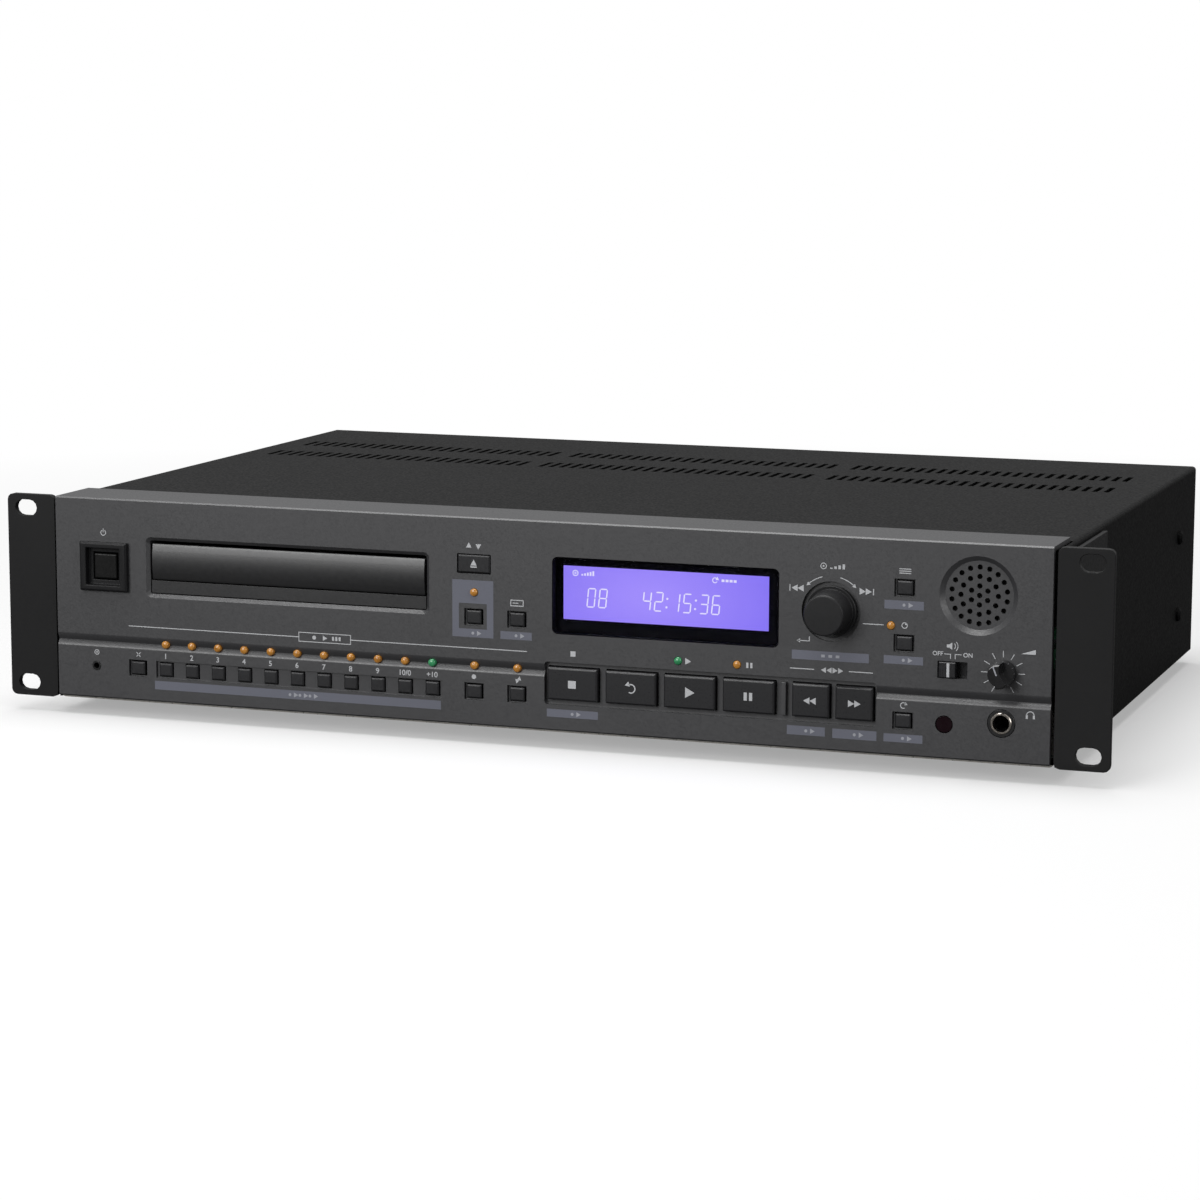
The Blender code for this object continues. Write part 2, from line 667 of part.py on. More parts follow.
def power_bezel():
    x, z = spot(POWER_SHARES)
    front = PANEL_FRONT - POWER_BEZEL_PROUD
    flange_back = PANEL_FRONT - FIT
    sleeve = power_sleeve(POWER_BEZEL_MOUTH)
    eased = 2 * POWER_BEZEL_EDGE
    outer = rectangle(POWER_BEZEL_WIDTH, POWER_BEZEL_HEIGHT)
    bm = bmesh.new()
    loft(bm, "Y", [
        (front, moved(rectangle(POWER_BEZEL_WIDTH - eased, POWER_BEZEL_HEIGHT - eased), x, z)),
        (front + POWER_BEZEL_EDGE, moved(outer, x, z)),
        (flange_back, moved(outer, x, z)),
        (flange_back, moved(rectangle(sleeve, sleeve), x, z)),
        (PANEL_BACK + POWER_SLEEVE_LENGTH, moved(rectangle(sleeve, sleeve), x, z)),
    ])
    bezel = add_piece("power_bezel", bm, key_plastic())
    bm = bmesh.new()
    mouth = moved(rectangle(POWER_BEZEL_MOUTH, POWER_BEZEL_MOUTH), x, z)
    prism(bm, "Y", mouth, front - OVERRUN, front + POWER_BEZEL_SINK)
    combine(bezel, "DIFFERENCE", "power_mouth", bm)
    bm = bmesh.new()
    shank = POWER_KEY_SIZE + 2 * KEY_CLEAR
    prism(bm, "Y", moved(rectangle(shank, shank), x, z), front, BOARD_FRONT)
    combine(bezel, "DIFFERENCE", "power_shank_hole", bm)


def power_button():
    """Square cap in the bezel with a narrower stem to the switch on the board."""
    x, z = spot(POWER_SHARES)
    ledge = PANEL_FRONT - POWER_BEZEL_PROUD + POWER_BEZEL_SINK
    front = ledge - POWER_KEY_PROUD
    eased = rectangle(POWER_KEY_SIZE - 2 * KEY_BEVEL, POWER_KEY_SIZE - 2 * KEY_BEVEL)
    cap = rectangle(POWER_KEY_SIZE, POWER_KEY_SIZE)
    stem = rectangle(SWITCH_BODY, SWITCH_BODY)
    cap_back = PANEL_BACK + POWER_SLEEVE_LENGTH
    stem_end = BOARD_FRONT - SWITCH_HEIGHT - POWER_TRAVEL - FIT
    bm = bmesh.new()
    loft(bm, "Y", [(0, eased), (KEY_BEVEL, cap), (cap_back - front, cap),
                   (cap_back - front, stem), (stem_end - front, stem)])
    add_piece("power_button", bm, key_plastic(), (x, front, z))


def push_key(key):
    """Cap, retaining flange behind the panel, and stem, about the key's own axis."""
    front = PANEL_FRONT - key.proud
    flange_front = PANEL_BACK + FIT - front
    flange_back = flange_front + KEY_FLANGE_WALL
    stem_end = BOARD_FRONT - SWITCH_HEIGHT - key.travel - FIT - front
    eased = rectangle(key.width - 2 * key.bevel, key.height - 2 * key.bevel)
    cap = rectangle(key.width, key.height)
    flange = rectangle(key.width + 2 * KEY_FLANGE, key.height + 2 * KEY_FLANGE)
    stem = rectangle(KEY_STEM, KEY_STEM)
    bm = bmesh.new()
    loft(bm, "Y", [(0, eased), (key.bevel, cap), (flange_front, cap), (flange_front, flange),
                   (flange_back, flange), (flange_back, stem), (stem_end, stem)])
    add_piece(key.name, bm, key_plastic(), (key.x, front, key.z))


def rack_ear(side, name):
    """Folded steel bracket: slotted front plate and a flange back along the case."""
    inner = HALF_CASE - EAR_LAP
    outer = HALF_CASE + EAR_STANDOUT
    flange_inner = HALF_CASE + FIT
    flange_outer = flange_inner + EAR_FLANGE_WALL
    flange_rear = EAR_FRONT + EAR_PLATE + EAR_FLANGE_DEPTH
    middle = side * (inner + outer) / 2
    plate = moved(rectangle(outer - inner, UNIT_HEIGHT, EAR_CORNER), middle,
                  (BOTTOM + TOP) / 2)
    bm = bmesh.new()
    prism(bm, "Y", plate, EAR_FRONT, EAR_FRONT + EAR_PLATE)
    ear = add_piece(name, bm, black_steel())
    bm = bmesh.new()
    low, high = sorted((side * flange_inner, side * flange_outer))
    block(bm, (low, EAR_FRONT + EAR_PLATE - OVERLAP, BOTTOM + EAR_FLANGE_DROP),
          (high, flange_rear, TOP - EAR_FLANGE_DROP))
    combine(ear, "UNION", name + "_flange", bm)
    bm = bmesh.new()
    slot = rectangle(RACK_SLOT_LENGTH, RACK_SLOT_HEIGHT, RACK_SLOT_HEIGHT / 2)
    for z in (BOTTOM + RACK_SLOT_RISE, TOP - RACK_SLOT_RISE):
        outline = moved(slot, side * (outer - RACK_SLOT_INSET), z)
        prism(bm, "Y", outline, EAR_FRONT - OVERRUN, EAR_FRONT + EAR_PLATE + OVERRUN)
    combine(ear, "DIFFERENCE", name + "_slots", bm)
    bm = bmesh.new()
    for y, z in ear_screw_places():
        screw(bm, side, flange_outer, y, z)
    combine(ear, "UNION", name + "_screws", bm)


# Pan-head screws through the sides: two a side hold the cover, two a side each ear.
SCREW_HEAD_RADIUS = 3.2 * MM
SCREW_HEAD_HEIGHT = 1.9 * MM
SCREW_SHANK_RADIUS = 1.5 * MM
SCREW_REACH = 1.6 * MM
SCREW_CROWN_SHARE = 0.6
SCREW_SIDES = 12
COVER_SCREW_SHARES = ((0.8670, 0.6590), (0.8700, 0.2540))
EAR_SCREW_DEPTH_SHARE = 0.68
EAR_SCREW_HEIGHT_SHARES = (0.25, 0.75)


def cover_screw_places():
    return [(EAR_FRONT + a * CASE_DEPTH, BOTTOM + b * UNIT_HEIGHT)
            for a, b in COVER_SCREW_SHARES]


def ear_screw_places():
    y = EAR_FRONT + EAR_PLATE + EAR_SCREW_DEPTH_SHARE * EAR_FLANGE_DEPTH
    return [(y, BOTTOM + share * UNIT_HEIGHT) for share in EAR_SCREW_HEIGHT_SHARES]


def screw(bm, side, seat, y, z):
    """Screw whose head sits on a side wall at a distance from the middle."""
    under = seat - OVERLAP
    crown = seat + SCREW_HEAD_HEIGHT
    tip = BASE_HALF - BASE_WALL - SCREW_REACH
    shape = [
        (0, crown),
        (SCREW_CROWN_SHARE * SCREW_HEAD_RADIUS, crown),
        (SCREW_HEAD_RADIUS, (seat + crown) / 2),
        (SCREW_HEAD_RADIUS, under),
        (SCREW_SHANK_RADIUS, under),
        (SCREW_SHANK_RADIUS, tip),
        (0, tip),
    ]
    turned(bm, "X", [(r, side * along) for r, along in shape], SCREW_SIDES, (y, z))


def screw_holes(places):
    """Cutter for the shanks through both sides of the case."""
    bm = bmesh.new()
    for side in (-1, 1):
        for y, z in places:
            prism(bm, "X", moved(circle(SCREW_SHANK_RADIUS + FIT, LAMP_SIDES), y, z),
                  side * (BASE_HALF - BASE_WALL - OVERRUN), side * (HALF_CASE + OVERRUN))
    return bm


def folded_profile(half, low, high, wall, bend, open_top):
    """Sheet folded to a U or an upturned U, as x and z."""
    outer = rectangle(2 * half, 2 * (high - low), bend)
    inner = rectangle(2 * (half - wall), 2 * (high - low - wall), max(bend - wall, wall / 2))
    upper_outer = [point for point in outer if point[1] > 0]
    upper_inner = [point for point in inner if point[1] > 0]
    shell = ([(half, 0)] + upper_outer + [(-half, 0), (-half + wall, 0)]
             + upper_inner[::-1] + [(half - wall, 0)])
    if open_top:
        return [(x, high - z) for x, z in shell]
    return [(x, low + z) for x, z in shell]


# Vent slots in the cover: three groups across, two rows deep.
VENT_SLOTS = 26
VENT_WEB = 2.58 * MM
VENT_SLOT_LENGTH = 17.0 * MM
VENT_GROUP_SHARES = (-0.3210, -0.0063, 0.3096)
VENT_ROW_SHARES = (0.6560, 0.7943)
VENT_PITCH_SHARE = 0.01157
VENT_PITCH = VENT_PITCH_SHARE * CASE_WIDTH
VENT_SLOT_WIDTH = VENT_PITCH - VENT_WEB


def vent_cutters():
    bm = bmesh.new()
    for group in VENT_GROUP_SHARES:
        for row in VENT_ROW_SHARES:
            y = EAR_FRONT + row * CASE_DEPTH
            for n in range(VENT_SLOTS):
                x = group * CASE_WIDTH + (n - (VENT_SLOTS - 1) / 2) * VENT_PITCH
                outline = moved(rectangle(VENT_SLOT_WIDTH, VENT_SLOT_LENGTH), x, y)
                prism(bm, "Z", outline, COVER_TOP - OVERRUN, COVER_TOP + OVERRUN)
    return bm


def top_cover():
    """U-shaped steel cover: top with vents and both sides, open over the hood."""
    front = EAR_FRONT + EAR_PLATE + FIT
    bm = bmesh.new()
    prism(bm, "Y", folded_profile(HALF_CASE, BOTTOM, COVER_TOP, COVER_WALL, COVER_BEND, False),
          front, CASE_REAR)
    cover = add_piece("top_cover", bm, black_steel())
    bm = bmesh.new()
    block(bm, (-HALF_CASE + COVER_WALL, front - OVERRUN, TOP - HOOD_WALL - FIT - COVER_BEND),
          (HALF_CASE - COVER_WALL, HOOD_REAR + FIT, TOP + OVERRUN))
    combine(cover, "DIFFERENCE", "cover_front_notch", bm)
    combine(cover, "DIFFERENCE", "cover_vents", vent_cutters())
    combine(cover, "DIFFERENCE", "cover_screw_holes", screw_holes(ear_screw_places()))
    bm = bmesh.new()
    for side in (-1, 1):
        for y, z in cover_screw_places():
            screw(bm, side, HALF_CASE, y, z)
    combine(cover, "UNION", "cover_screws", bm)


# Base pan and what it carries.
MAIN_BOARD_SHARES = (0.2400, 0.6700)
MAIN_BOARD_MARGIN = 14.5 * MM
MAIN_BOARD_WIDTH = 2 * (BASE_HALF - MAIN_BOARD_MARGIN - MAIN_BOARD_SHARES[0] * CASE_WIDTH)
MAIN_BOARD_DEPTH = 150.0 * MM
MAIN_BOARD_LIFT = 8.0 * MM
STANDOFF_RADIUS = 3.0 * MM
STANDOFF_INSET = 7.0 * MM


def main_board_corners():
    x = MAIN_BOARD_SHARES[0] * CASE_WIDTH
    y = EAR_FRONT + MAIN_BOARD_SHARES[1] * CASE_DEPTH
    return [(x + a * (MAIN_BOARD_WIDTH / 2 - STANDOFF_INSET),
             y + b * (MAIN_BOARD_DEPTH / 2 - STANDOFF_INSET))
            for a in (-1, 1) for b in (-1, 1)]


def chassis_base():
    """Folded pan whose sides start behind the hood, with standoffs for the main board."""
    front = PANEL_BACK + FIT
    rear = CASE_REAR - FIT
    bm = bmesh.new()
    prism(bm, "Y", folded_profile(BASE_HALF, BOTTOM, BASE_TOP, BASE_WALL, COVER_BEND, True),
          front, rear)
    base = add_piece("chassis_base", bm, bright_metal())
    posts = bmesh.new()
    for x, y in main_board_corners():
        prism(posts, "Z", moved(circle(STANDOFF_RADIUS, LAMP_SIDES), x, y),
              FLOOR_TOP - OVERLAP, FLOOR_TOP + MAIN_BOARD_LIFT - FIT)
    combine(base, "UNION", "base_standoffs", posts)
    bm = bmesh.new()
    block(bm, (-HALF_CASE, front - OVERRUN, FLOOR_TOP), (HALF_CASE, HOOD_REAR + FIT, TOP))
    combine(base, "DIFFERENCE", "base_front_notch", bm)
    combine(base, "DIFFERENCE", "base_screw_holes",
            screw_holes(cover_screw_places() + ear_screw_places()))


# Feet: four short turned pads under the base.
FOOT_RADIUS = 11.0 * MM
FOOT_TAPER = 1.5 * MM
FOOT_SIDES = 16
FOOT_X_SHARE = 0.40
FOOT_Y_SHARES = (0.20, 0.86)


def foot(name, x_share, y_share):
    profile = [(0, 0), (FOOT_RADIUS - FOOT_TAPER, 0), (FOOT_RADIUS, FOOT_HEIGHT - FIT),
               (0, FOOT_HEIGHT - FIT)]
    bm = bmesh.new()
    turned(bm, "Z", profile, FOOT_SIDES)
    add_piece(name, bm, black_rubber(),
              (x_share * CASE_WIDTH, EAR_FRONT + y_share * CASE_DEPTH, 0), smooth=True)


def feet():
    for x_share, side in ((-FOOT_X_SHARE, "left"), (FOOT_X_SHARE, "right")):
        for y_share, end in zip(FOOT_Y_SHARES, ("front", "rear")):
            foot(f"foot_{end}_{side}", x_share, y_share)


# Rear sockets, as shares of the case's width and the unit's height.
INLET_SHARES = (-0.4200, 0.4200)
INLET_WIDTH = 27.0 * MM
INLET_HEIGHT = 19.5 * MM
INLET_FLANGE = 2.2 * MM
INLET_FLANGE_WALL = 1.6 * MM
INLET_DEPTH = 20.0 * MM
INLET_CAVITY_WIDTH = 24.0 * MM
INLET_CAVITY_HEIGHT = 16.5 * MM
INLET_CAVITY_DEPTH = 15.0 * MM
INLET_BLADE = 2.0 * MM
INLET_BLADE_PITCH = 7.0 * MM
INLET_BLADE_REACH = 11.0 * MM
ROUND_SOCKET_SHARES = ((0.1000, 0.4200), (0.1900, 0.4200))
ROUND_SOCKET_RADIUS = 11.8 * MM
ROUND_SOCKET_FLANGE_WIDTH = 26.0 * MM
ROUND_SOCKET_FLANGE_HEIGHT = 31.0 * MM
ROUND_SOCKET_FLANGE_WALL = 1.6 * MM
ROUND_SOCKET_BORE = 9.4 * MM
ROUND_SOCKET_DEPTH = 20.0 * MM
ROUND_SOCKET_CAVITY = 15.0 * MM
CONTACT_RADIUS = 1.2 * MM
CONTACT_CIRCLE = 5.2 * MM
CONTACT_REACH = 10.0 * MM
PIN_SOCKET_SHARES = ((0.2800, 0.5000), (0.2800, 0.3400), (0.3400, 0.3400))
PIN_SOCKET_RADIUS = 4.2 * MM
PIN_SOCKET_NUT_RADIUS = 5.6 * MM
PIN_SOCKET_NUT_WALL = 1.4 * MM
PIN_SOCKET_BORE = 1.8 * MM
PIN_SOCKET_BODY = 8.0 * MM


def rear_spot(shares):
    return shares[0] * CASE_WIDTH, BOTTOM + shares[1] * UNIT_HEIGHT


def rear_panel():
    inner = BASE_HALF - BASE_WALL - FIT
    low = FLOOR_TOP + FIT
    high = COVER_TOP - COVER_WALL - FIT
    bm = bmesh.new()
    block(bm, (-inner, REAR_FACE - REAR_WALL, low), (inner, REAR_FACE, high))
    panel = add_piece("rear_panel", bm, black_steel())
    bm = bmesh.new()
    holes = [moved(rectangle(INLET_WIDTH + 2 * FIT, INLET_HEIGHT + 2 * FIT),
                   *rear_spot(INLET_SHARES))]
    holes += [moved(circle(ROUND_SOCKET_RADIUS + FIT, COARSE_SIDES), *rear_spot(shares))
              for shares in ROUND_SOCKET_SHARES]
    holes += [moved(circle(PIN_SOCKET_RADIUS + FIT, LAMP_SIDES), *rear_spot(shares))
              for shares in PIN_SOCKET_SHARES]
    for outline in holes:
        prism(bm, "Y", outline, REAR_FACE - REAR_WALL - OVERRUN, REAR_FACE + OVERRUN)
    combine(panel, "DIFFERENCE", "rear_holes", bm)


def ac_inlet():
    """Three-pole mains inlet: flange outside, body inside, blades in its cavity."""
    x, z = rear_spot(INLET_SHARES)
    front = REAR_FACE + FIT + INLET_FLANGE_WALL
    body = moved(rectangle(INLET_WIDTH, INLET_HEIGHT), x, z)
    flange = moved(rectangle(INLET_WIDTH + 2 * INLET_FLANGE,
                             INLET_HEIGHT + 2 * INLET_FLANGE), x, z)
    bm = bmesh.new()
    loft(bm, "Y", [(front, flange), (REAR_FACE + FIT, flange), (REAR_FACE + FIT, body),
                   (front - INLET_DEPTH, body)])
    inlet = add_piece("ac_inlet", bm, key_plastic())
    bm = bmesh.new()
    cavity = moved(rectangle(INLET_CAVITY_WIDTH, INLET_CAVITY_HEIGHT), x, z)
    prism(bm, "Y", cavity, front + OVERRUN, front - INLET_CAVITY_DEPTH)
    combine(inlet, "DIFFERENCE", "inlet_cavity", bm)
    bm = bmesh.new()
    for n, lift in ((-1, 0), (0, INLET_BLADE), (1, 0)):
        blade = rectangle(INLET_BLADE, 2 * INLET_BLADE)
        prism(bm, "Y", moved(blade, x + n * INLET_BLADE_PITCH, z + lift),
              front - INLET_CAVITY_DEPTH - OVERLAP,
              front - INLET_CAVITY_DEPTH + INLET_BLADE_REACH)
    combine(inlet, "UNION", "inlet_blades", bm)


def output_sockets():
    """Plate with two round three-pin sockets and three pin sockets."""
    front = REAR_FACE + FIT + ROUND_SOCKET_FLANGE_WALL
    first, middle = rear_spot(ROUND_SOCKET_SHARES[0])
    last = rear_spot(PIN_SOCKET_SHARES[-1])[0]
    rise = ROUND_SOCKET_FLANGE_HEIGHT / 2
    bm = bmesh.new()
    block(bm, (first - ROUND_SOCKET_FLANGE_WIDTH / 2, REAR_FACE + FIT, middle - rise),
          (last + 2 * PIN_SOCKET_NUT_RADIUS, front, middle + rise))
    sockets = add_piece("output_sockets", bm, key_plastic())
    barrels, cavities, contacts = bmesh.new(), bmesh.new(), bmesh.new()
    floor = front - ROUND_SOCKET_CAVITY
    for shares in ROUND_SOCKET_SHARES:
        x, z = rear_spot(shares)
        prism(barrels, "Y", moved(circle(ROUND_SOCKET_RADIUS, COARSE_SIDES), x, z),
              REAR_FACE + FIT + OVERLAP, front - ROUND_SOCKET_DEPTH)
        prism(cavities, "Y", moved(circle(ROUND_SOCKET_BORE, COARSE_SIDES), x, z),
              front + OVERRUN, floor)
        for n in range(3):
            angle = math.pi / 2 + math.pi * n * 2 / 3
            outline = moved(circle(CONTACT_RADIUS, LAMP_SIDES),
                            x + CONTACT_CIRCLE * math.cos(angle),
                            z + CONTACT_CIRCLE * math.sin(angle))
            prism(contacts, "Y", outline, floor - OVERLAP, floor + CONTACT_REACH)
    nut = front + PIN_SOCKET_NUT_WALL
    profile = [
        (0, CASE_REAR),
        (PIN_SOCKET_RADIUS, CASE_REAR),
        (PIN_SOCKET_RADIUS, nut),
        (PIN_SOCKET_NUT_RADIUS, nut),
        (PIN_SOCKET_NUT_RADIUS, front - OVERLAP),
        (PIN_SOCKET_RADIUS, front - OVERLAP),
        (PIN_SOCKET_RADIUS, REAR_FACE - REAR_WALL - PIN_SOCKET_BODY),
        (0, REAR_FACE - REAR_WALL - PIN_SOCKET_BODY),
    ]
    for shares in PIN_SOCKET_SHARES:
        turned(barrels, "Y", profile, SCREW_SIDES, rear_spot(shares))
        bore = moved(circle(PIN_SOCKET_BORE, LAMP_SIDES), *rear_spot(shares))
        prism(cavities, "Y", bore, CASE_REAR - PIN_SOCKET_BODY, CASE_REAR + OVERRUN)
    combine(sockets, "UNION", "socket_barrels", barrels)
    combine(sockets, "DIFFERENCE", "socket_cavities", cavities)
    combine(sockets, "UNION", "socket_contacts", contacts)


def display_window():
    """Tinted window whose flange sits behind the panel."""
    x, z = WINDOW_SPOT
    pane = rectangle(WINDOW_WIDTH - 2 * FIT, WINDOW_HEIGHT - 2 * FIT, WINDOW_CORNER)
    flange = rectangle(WINDOW_WIDTH + 2 * WINDOW_FLANGE, WINDOW_HEIGHT + 2 * WINDOW_FLANGE,
                       WINDOW_CORNER)
    seat = PANEL_BACK + FIT
    bm = bmesh.new()
    loft(bm, "Y", [(PANEL_FRONT + WINDOW_SINK, moved(pane, x, z)), (seat, moved(pane, x, z)),
                   (seat, moved(flange, x, z)),
                   (seat + WINDOW_FLANGE_WALL, moved(flange, x, z))])
    add_piece("display_window", bm, window_tint())


# Display module: glass in a frame with its own small board.
DISPLAY_FRAME_DEPTH = 6.0 * MM
DISPLAY_SIDE_MARGIN = 4.48 * MM
DISPLAY_END_MARGIN = 4.95 * MM
DISPLAY_GLASS_WIDTH = WINDOW_WIDTH - 2 * DISPLAY_SIDE_MARGIN
DISPLAY_GLASS_HEIGHT = WINDOW_HEIGHT - 2 * DISPLAY_END_MARGIN
DISPLAY_GLASS_SINK = 0.6 * MM


def display_module():
    x, z = WINDOW_SPOT
    front = PANEL_BACK + WINDOW_FLANGE_WALL + 2 * FIT
    bm = bmesh.new()
    frame = moved(rectangle(WINDOW_WIDTH, WINDOW_HEIGHT, WINDOW_CORNER), x, z)
    prism(bm, "Y", frame, front, front + DISPLAY_FRAME_DEPTH)
    module = add_piece("display_module", bm, lit_display())
    bm = bmesh.new()
    glass = moved(rectangle(DISPLAY_GLASS_WIDTH, DISPLAY_GLASS_HEIGHT), x, z)
    prism(bm, "Y", glass, front - OVERRUN, front + DISPLAY_GLASS_SINK)
    combine(module, "DIFFERENCE", "display_glass", bm)


def infrared_window():
    x, z = spot(INFRARED_SHARES)
    radius = INFRARED_RADIUS - FIT
    flange_back = PANEL_BACK + FIT + WINDOW_FLANGE_WALL
    profile = [
        (0, PANEL_FRONT + WINDOW_SINK), (radius, PANEL_FRONT + WINDOW_SINK),
        (radius, PANEL_BACK + FIT), (radius + WINDOW_FLANGE, PANEL_BACK + FIT),
        (radius + WINDOW_FLANGE, flange_back), (0, flange_back),
    ]
    bm = bmesh.new()
    turned(bm, "Y", profile, COARSE_SIDES, (x, z))
    add_piece("infrared_window", bm, infrared_tint(), smooth=True)


# Jacks: a bored bush through the panel and a body behind it.
PHONES_BORE = 3.25 * MM
PHONES_BODY_RADIUS = 7.5 * MM
PHONES_BODY_LENGTH = 24.0 * MM
PHONES_BUSH_EDGE = 0.5 * MM
REMOTE_BORE = 1.3 * MM
REMOTE_BODY_RADIUS = 3.6 * MM
REMOTE_BUSH_EDGE = 0.2 * MM
JACK_FLOOR = 2.5 * MM


def jack(name, shares, bore, bush, edge, body, end, material):
    profile = [
        (0, end - JACK_FLOOR), (bore, end - JACK_FLOOR), (bore, PANEL_FRONT + edge),
        (bore + edge, PANEL_FRONT), (bush - edge, PANEL_FRONT), (bush, PANEL_FRONT + edge),
        (bush, PANEL_BACK + FIT), (body, PANEL_BACK + FIT), (body, end), (0, end),
    ]
    bm = bmesh.new()
    turned(bm, "Y", profile, COARSE_SIDES, spot(shares))
    add_piece(name, bm, material, smooth=True)


def jacks():
    jack("phones_jack", PHONES_SHARES, PHONES_BORE, PHONES_BUSH_RADIUS, PHONES_BUSH_EDGE,
         PHONES_BODY_RADIUS, PANEL_BACK + PHONES_BODY_LENGTH, bright_metal())
    jack("remote_jack", REMOTE_SHARES, REMOTE_BORE, REMOTE_RADIUS - FIT, REMOTE_BUSH_EDGE,
         REMOTE_BODY_RADIUS, BOARD_FRONT - FIT, key_plastic())


# Monitor speaker behind the grille holes.
SPEAKER_RIM_RADIUS = 17.0 * MM
SPEAKER_RIM_WALL = 1.6 * MM
SPEAKER_CONE_DEPTH = 4.0 * MM
SPEAKER_BASKET_DEPTH = 8.0 * MM
SPEAKER_MAGNET_RADIUS = 10.0 * MM
SPEAKER_DEPTH = 14.0 * MM


def speaker_driver():
    seat = PANEL_BACK + FIT
    profile = [
        (0, seat + SPEAKER_CONE_DEPTH), (GRILLE_RADIUS, seat), (SPEAKER_RIM_RADIUS, seat),
        (SPEAKER_RIM_RADIUS, seat + SPEAKER_RIM_WALL),
        (SPEAKER_MAGNET_RADIUS, seat + SPEAKER_BASKET_DEPTH),
        (SPEAKER_MAGNET_RADIUS, seat + SPEAKER_DEPTH), (0, seat + SPEAKER_DEPTH),
    ]
    bm = bmesh.new()
    turned(bm, "Y", profile, FINE_SIDES - LAMP_SIDES, spot(SPEAKER_SHARES))
    add_piece("speaker_driver", bm, grey_plastic(), smooth=True)


# Jog knob on its encoder: the knob pushes in, the collar round its stem only turns.
JOG_CAP_RADIUS = 7.9 * MM
JOG_FOOT_RADIUS = 8.9 * MM
JOG_SKIRT_RADIUS = 10.4 * MM
JOG_SKIRT_LIP = 0.5 * MM
JOG_SKIRT_WALL = 1.1 * MM
JOG_EDGE = 0.7 * MM
JOG_TRAVEL = 0.8 * MM
ENCODER_BODY = 12.0 * MM
ENCODER_HEIGHT = 4.6 * MM


def jog_knob():
    """Slightly conical knob with its stem, on a dished skirt in the panel's recess."""
    x, z = spot(JOG_SHARES)
    lip = -JOG_SKIRT_LIP
    back = lip + JOG_SKIRT_WALL
    rear = BOARD_FRONT - ENCODER_HEIGHT - JOG_TRAVEL - FIT - PANEL_FRONT
    profile = [
        (0, rear),
        (JOG_SHAFT_RADIUS, rear),
        (JOG_SHAFT_RADIUS, back),
        (JOG_SKIRT_RADIUS, back),
        (JOG_SKIRT_RADIUS, lip + JOG_SKIRT_LIP / 2),
        (JOG_SKIRT_RADIUS - JOG_SKIRT_LIP, lip),
        (JOG_FOOT_RADIUS + JOG_SKIRT_LIP, 0),
        (JOG_FOOT_RADIUS, lip),
        (JOG_CAP_RADIUS, JOG_EDGE - JOG_LENGTH),
        (JOG_CAP_RADIUS - JOG_EDGE, -JOG_LENGTH),
        (0, -JOG_LENGTH),
    ]
    bm = bmesh.new()
    turned(bm, "Y", profile, FINE_SIDES)
    add_piece("jog_knob", bm, key_plastic(), (x, PANEL_FRONT, z), smooth=True)


def jog_collar():
    x, z = spot(JOG_SHARES)
    front = PANEL_FRONT + JOG_RECESS_DEPTH + FIT
    rear = BOARD_FRONT - ENCODER_HEIGHT - FIT - front
    inner = JOG_SHAFT_RADIUS + FIT
    profile = [(inner, 0), (JOG_COLLAR_RADIUS, 0), (JOG_COLLAR_RADIUS, rear), (inner, rear)]
    bm = bmesh.new()
    turned(bm, "Y", profile, COARSE_SIDES, ring=True)
    add_piece("jog_collar", bm, bright_metal(), (x, front, z), smooth=True)


# Level knob: round body with two scoops that leave a pointer blade.
LEVEL_LENGTH = 10.5 * MM
LEVEL_RADIUS = 5.4 * MM
LEVEL_TAPER = 0.4 * MM
LEVEL_EDGE = 0.4 * MM
LEVEL_BLADE = 2.4 * MM
LEVEL_SCOOP_RADIUS = 7.0 * MM
LEVEL_SCOOP_DEPTH = 6.0 * MM
LEVEL_POINTER_DEGREES = 112.0
POT_BODY = 11.0 * MM
POT_HEIGHT = 4.6 * MM


def level_knob():
    x, z = spot(LEVEL_SHARES)
    rear = BOARD_FRONT - POT_HEIGHT - FIT - PANEL_FRONT
    front_radius = LEVEL_RADIUS - LEVEL_TAPER
    profile = [
        (0, -LEVEL_LENGTH),
        (front_radius - LEVEL_EDGE, -LEVEL_LENGTH),
        (front_radius, LEVEL_EDGE - LEVEL_LENGTH),
        (LEVEL_RADIUS, -FIT),
        (LEVEL_SHAFT_RADIUS, -FIT),
        (LEVEL_SHAFT_RADIUS, rear),
        (0, rear),
    ]
    bm = bmesh.new()
    turned(bm, "Y", profile, FINE_SIDES)
    knob = add_piece("level_knob", bm, gloss_black(), (x, PANEL_FRONT, z), smooth=True)
    bm = bmesh.new()
    across = math.radians(LEVEL_POINTER_DEGREES - 90)
    reach = LEVEL_SCOOP_RADIUS + LEVEL_BLADE / 2
    for side in (-1, 1):
        outline = moved(circle(LEVEL_SCOOP_RADIUS, FINE_SIDES),
                        side * reach * math.cos(across), side * reach * math.sin(across))
        prism(bm, "Y", outline, -LEVEL_LENGTH - OVERRUN, LEVEL_SCOOP_DEPTH - LEVEL_LENGTH)
    combine(knob, "DIFFERENCE", "level_scoops", bm)


# Slide switch for the speaker: cap in the mouth, shutter behind the panel, stem.
SLIDE_CAP_WIDTH = 6.85 * MM
SLIDE_PROUD = 1.0 * MM
SLIDE_EDGE = 0.3 * MM
SLIDE_TRAVEL = 4.0 * MM
SLIDE_BODY_HEIGHT = 3.4 * MM
SLIDE_BODY_WIDTH = 12.0 * MM


